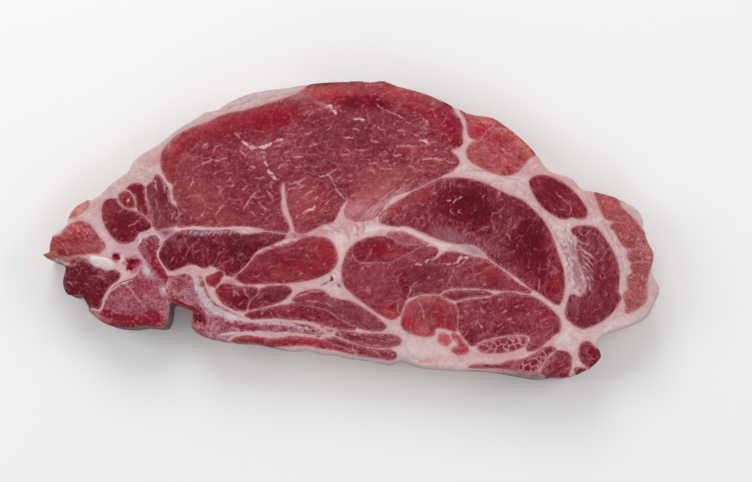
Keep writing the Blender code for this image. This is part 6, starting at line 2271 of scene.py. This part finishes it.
    def clouds(self) -> list[Patch]:
        """Soft clouds of other tones, and painted shade along the near edge at the right.

        Returns:
            The patches, in the order in which they are painted.
        """
        return patches(
            (Tint.FAT_WHITE, 0.6, -5, -6, 3.4, 7), (Tint.FAT_WHITE, 0.55, 20, -38, 9, 3, -5),
            (Tint.FAT_WHITE, 0.5, 50, 17.4, 6, 1.6, -15), (Tint.FAT_WHITE, 0.5, 67, -33, 4, 4),
            (Tint.FAT_WHITE, 0.3, 6.5, 0.2, 3.4, 1.6), (Tint.FAT_WHITE, 0.5, 37.6, 25, 1.8, 4, -25),
            (Tint.BEIGE, 0.6, 91, -29.5, 9, 2.6, 32), (Tint.FAT_PINK, 0.5, 99, -22, 1.4, 5, 10),
            (Tint.FAT_GREY, 0.55, 6, -42, 9, 1.6, -8), (Tint.SILVER, 0.5, 14.5, -41.5, 2, 1.6),
            (Tint.FAT_GREY, 0.5, -26, 45.6, 14, 1.8, 12), (Tint.FAT_GREY, 0.45, -55, 33.5, 10, 1.8, 34),
            (Tint.FAT_PINK, 0.55, -65.5, 22.4, 3, 2.2, 30), (Tint.FAT_PINK, 0.4, -83, 6.5, 2, 3),
            (Tint.LILAC, 0.4, -72, -7, 5, 2, -10), (Tint.MEMBRANE, 0.85, -88, -9.6, 2.6, 1.2, -8),
            (Tint.FAT_WHITE, 0.5, -74, -13, 3.4, 1.2, 10), (Tint.CORTEX, 0.7, -68, -13, 1.4, 1.8, 30),
            (Tint.FAT_WHITE, 0.45, 86, -33, 9, 3, 30), (Tint.LILAC, 0.3, 89.4, -15, 1, 6, 0),
            (Tint.MEMBRANE, 0.8, -60.2, -0.6, 3, 1.7), (Tint.PLUM, 0.6, -60.6, -1, 2.4, 1.1),
            (Tint.PLUM, 0.8, -90.3, -10.4, 2.4, 1.2), (Tint.ROSE, 0.7, -92.6, -9.2, 2.2, 0.9),
            (Tint.PLUM, 0.8, -83.8, -13, 4, 0.9, -15), (Tint.DEEP, 0.75, -66.2, 5.4, 1.8, 2.6),
            (Tint.CRIMSON, 0.6, -16.6, -2, 4.6, 1.1), (Tint.ROSE, 0.4, -8, 0, 4, 1.3),
            (Tint.CRIMSON, 0.65, -39.6, -17.4, 2.4, 1.5),
            (Tint.MEMBRANE, 0.75, 39.3, -6.6, 4.4, 1.3, -28), (Tint.ROSE, 0.4, 0, -34.2, 11, 1.2, -9),
            (Tint.FAT_PINK, 0.6, 57.4, 20.6, 4, 1.8, -38), (Tint.FAT_PINK, 0.85, -1, 1.6, 4.4, 2.4),
            (Tint.FAT_PINK, 0.6, 21, -1.4, 6, 1.1, -10), (Tint.FAT_GREY, 0.6, 96, -27, 4, 2.6, 40),
            # The second patch on this row is painted shade along the near edge at the right.
            (Tint.HAZE, 0.5, 73.8, -9.6, 1.5, 5.5, 6), (Tint.PAINTED_SHADE, 0.8, 58, -47.5, 8, 1.2, -4),
            (Tint.DEEP, 0.55, 54, -46, 9, 0.9, -2), (Tint.FAT_PINK, 0.5, 33, -30.4, 4, 1, -30),
            (Tint.FAT_WHITE, 0.3, 71.4, -20, 1.8, 3), (Tint.SILVER, 0.4, 89, -13, 1, 6),
            (Tint.FAT_PINK, 0.5, -88.5, 3.4, 2.4, 1, -20), (Tint.FAT_WHITE, 0.45, -62.5, 20.4, 3, 2),
            (Tint.FAT_PINK, 0.4, -48.5, -13.6, 6, 0.9), (Tint.BEIGE, 0.5, 93.6, 6.2, 2.6, 3.4, 30))


@dataclass
class Studio:
    """A pale floor, soft light and a camera that looks down on the chop."""

    aim: tuple[float, float, float] = (8.1713, -4.2768, 18.0)
    elevation: float = 83.0
    distance: float = 579.2
    lens: float = 85.0
    sensor: float = 36.0
    floor_size: float = 3000.0
    sky: float = 0.46
    box_size: float = 420.0
    box_height: float = 560.0
    floor_gap: float = 0.02

    def build(self) -> None:
        """Set up the floor, the light and the camera."""
        scene = bpy.context.scene
        scene.view_settings.view_transform = "Standard"
        self._floor()
        for name, x, y, power in (("back", -120.0, 560.0, 2.0), ("left", -580.0, 60.0, 1.3),
                                  ("right", 600.0, 120.0, 1.2), ("front", 60.0, -620.0, 0.6)):
            self._light(name, (x, y, self.box_height), power, self.box_size)
        world = bpy.data.worlds.new("soft_sky")
        scene.world = world
        world.use_nodes = True
        sky = world.node_tree.nodes["Background"]
        sky.inputs["Color"].default_value = (1.0, 1.0, 1.0, 1.0)
        sky.inputs["Strength"].default_value = self.sky
        self._camera()

    def _floor(self) -> None:
        """A flat white floor under the chop."""
        half = self.floor_size / 2 * METRES
        mesh = bpy.data.meshes.new("floor")
        corners = [(-half, -half, 0), (half, -half, 0), (half, half, 0), (-half, half, 0)]
        mesh.from_pydata(corners, [], [(0, 1, 2, 3)])
        white = bpy.data.materials.new("floor_white")
        white.use_nodes = True
        shader = white.node_tree.nodes["Principled BSDF"]
        shader.inputs["Base Color"].default_value = (0.93, 0.93, 0.93, 1.0)
        shader.inputs["Roughness"].default_value = 0.8
        shader.inputs["Specular IOR Level"].default_value = 0.1
        mesh.materials.append(white)
        floor = bpy.data.objects.new("floor", mesh)
        floor.location.z = -self.floor_gap * METRES
        bpy.context.scene.collection.objects.link(floor)

    def _light(self, name: str, place: tuple[float, float, float], power: float, size: float) -> None:
        """A square soft light aimed at the chop.

        Args:
            name: Name of the light.
            place: Where it stands.
            power: Its power in watts.
            size: Length of its sides.
        """
        lamp = bpy.data.lights.new(name, "AREA")
        lamp.energy = power
        lamp.size = size * METRES
        thing = bpy.data.objects.new(name, lamp)
        thing.location = Vector(place) * METRES
        thing.rotation_euler = (Vector(self.aim) - Vector(place)).to_track_quat("-Z", "Y").to_euler()
        bpy.context.scene.collection.objects.link(thing)

    def _camera(self) -> None:
        """The camera, as far off and as high as the photo's."""
        lens = bpy.data.cameras.new("camera")
        lens.lens = self.lens
        lens.sensor_width = self.sensor
        lens.clip_start = 0.01
        camera = bpy.data.objects.new("camera", lens)
        rise = math.radians(self.elevation)
        aim = Vector(self.aim) * METRES
        back = Vector((0.0, -math.cos(rise), math.sin(rise))) * self.distance * METRES
        camera.location = aim + back
        camera.rotation_euler = (-back).to_track_quat("-Z", "Y").to_euler()
        bpy.context.scene.collection.objects.link(camera)
        bpy.context.scene.camera = camera


SLOT_OF = {part["node"]: part["material_slot"] for part in frame["record"]["subparts"]}


def main() -> None:
    """Dress every solid of the chop, report each piece and light the scene."""
    logging.basicConfig(level=logging.INFO, format="%(message)s")
    slab = Slab()
    slab.read_solids()
    sides = (EyeSide(), ClusterSide(), BoneSide(), NearSide(), FarSide(), HemSide(), RoundEnd(), FatSide())
    cuts = [cut for side in sides for cut in side.cuts()]
    slab.tones = {cut.node: cut.mid for cut in cuts}
    for cut in cuts:
        piece = cut.build(slab)
        logging.info("%s: %d triangles", piece.name, len(piece.data.polygons))
    bed = SeamBed().build(slab)
    logging.info("%s: %d triangles", bed.name, len(bed.data.polygons))
    Studio().build()


if __name__ == "__main__":
    main()
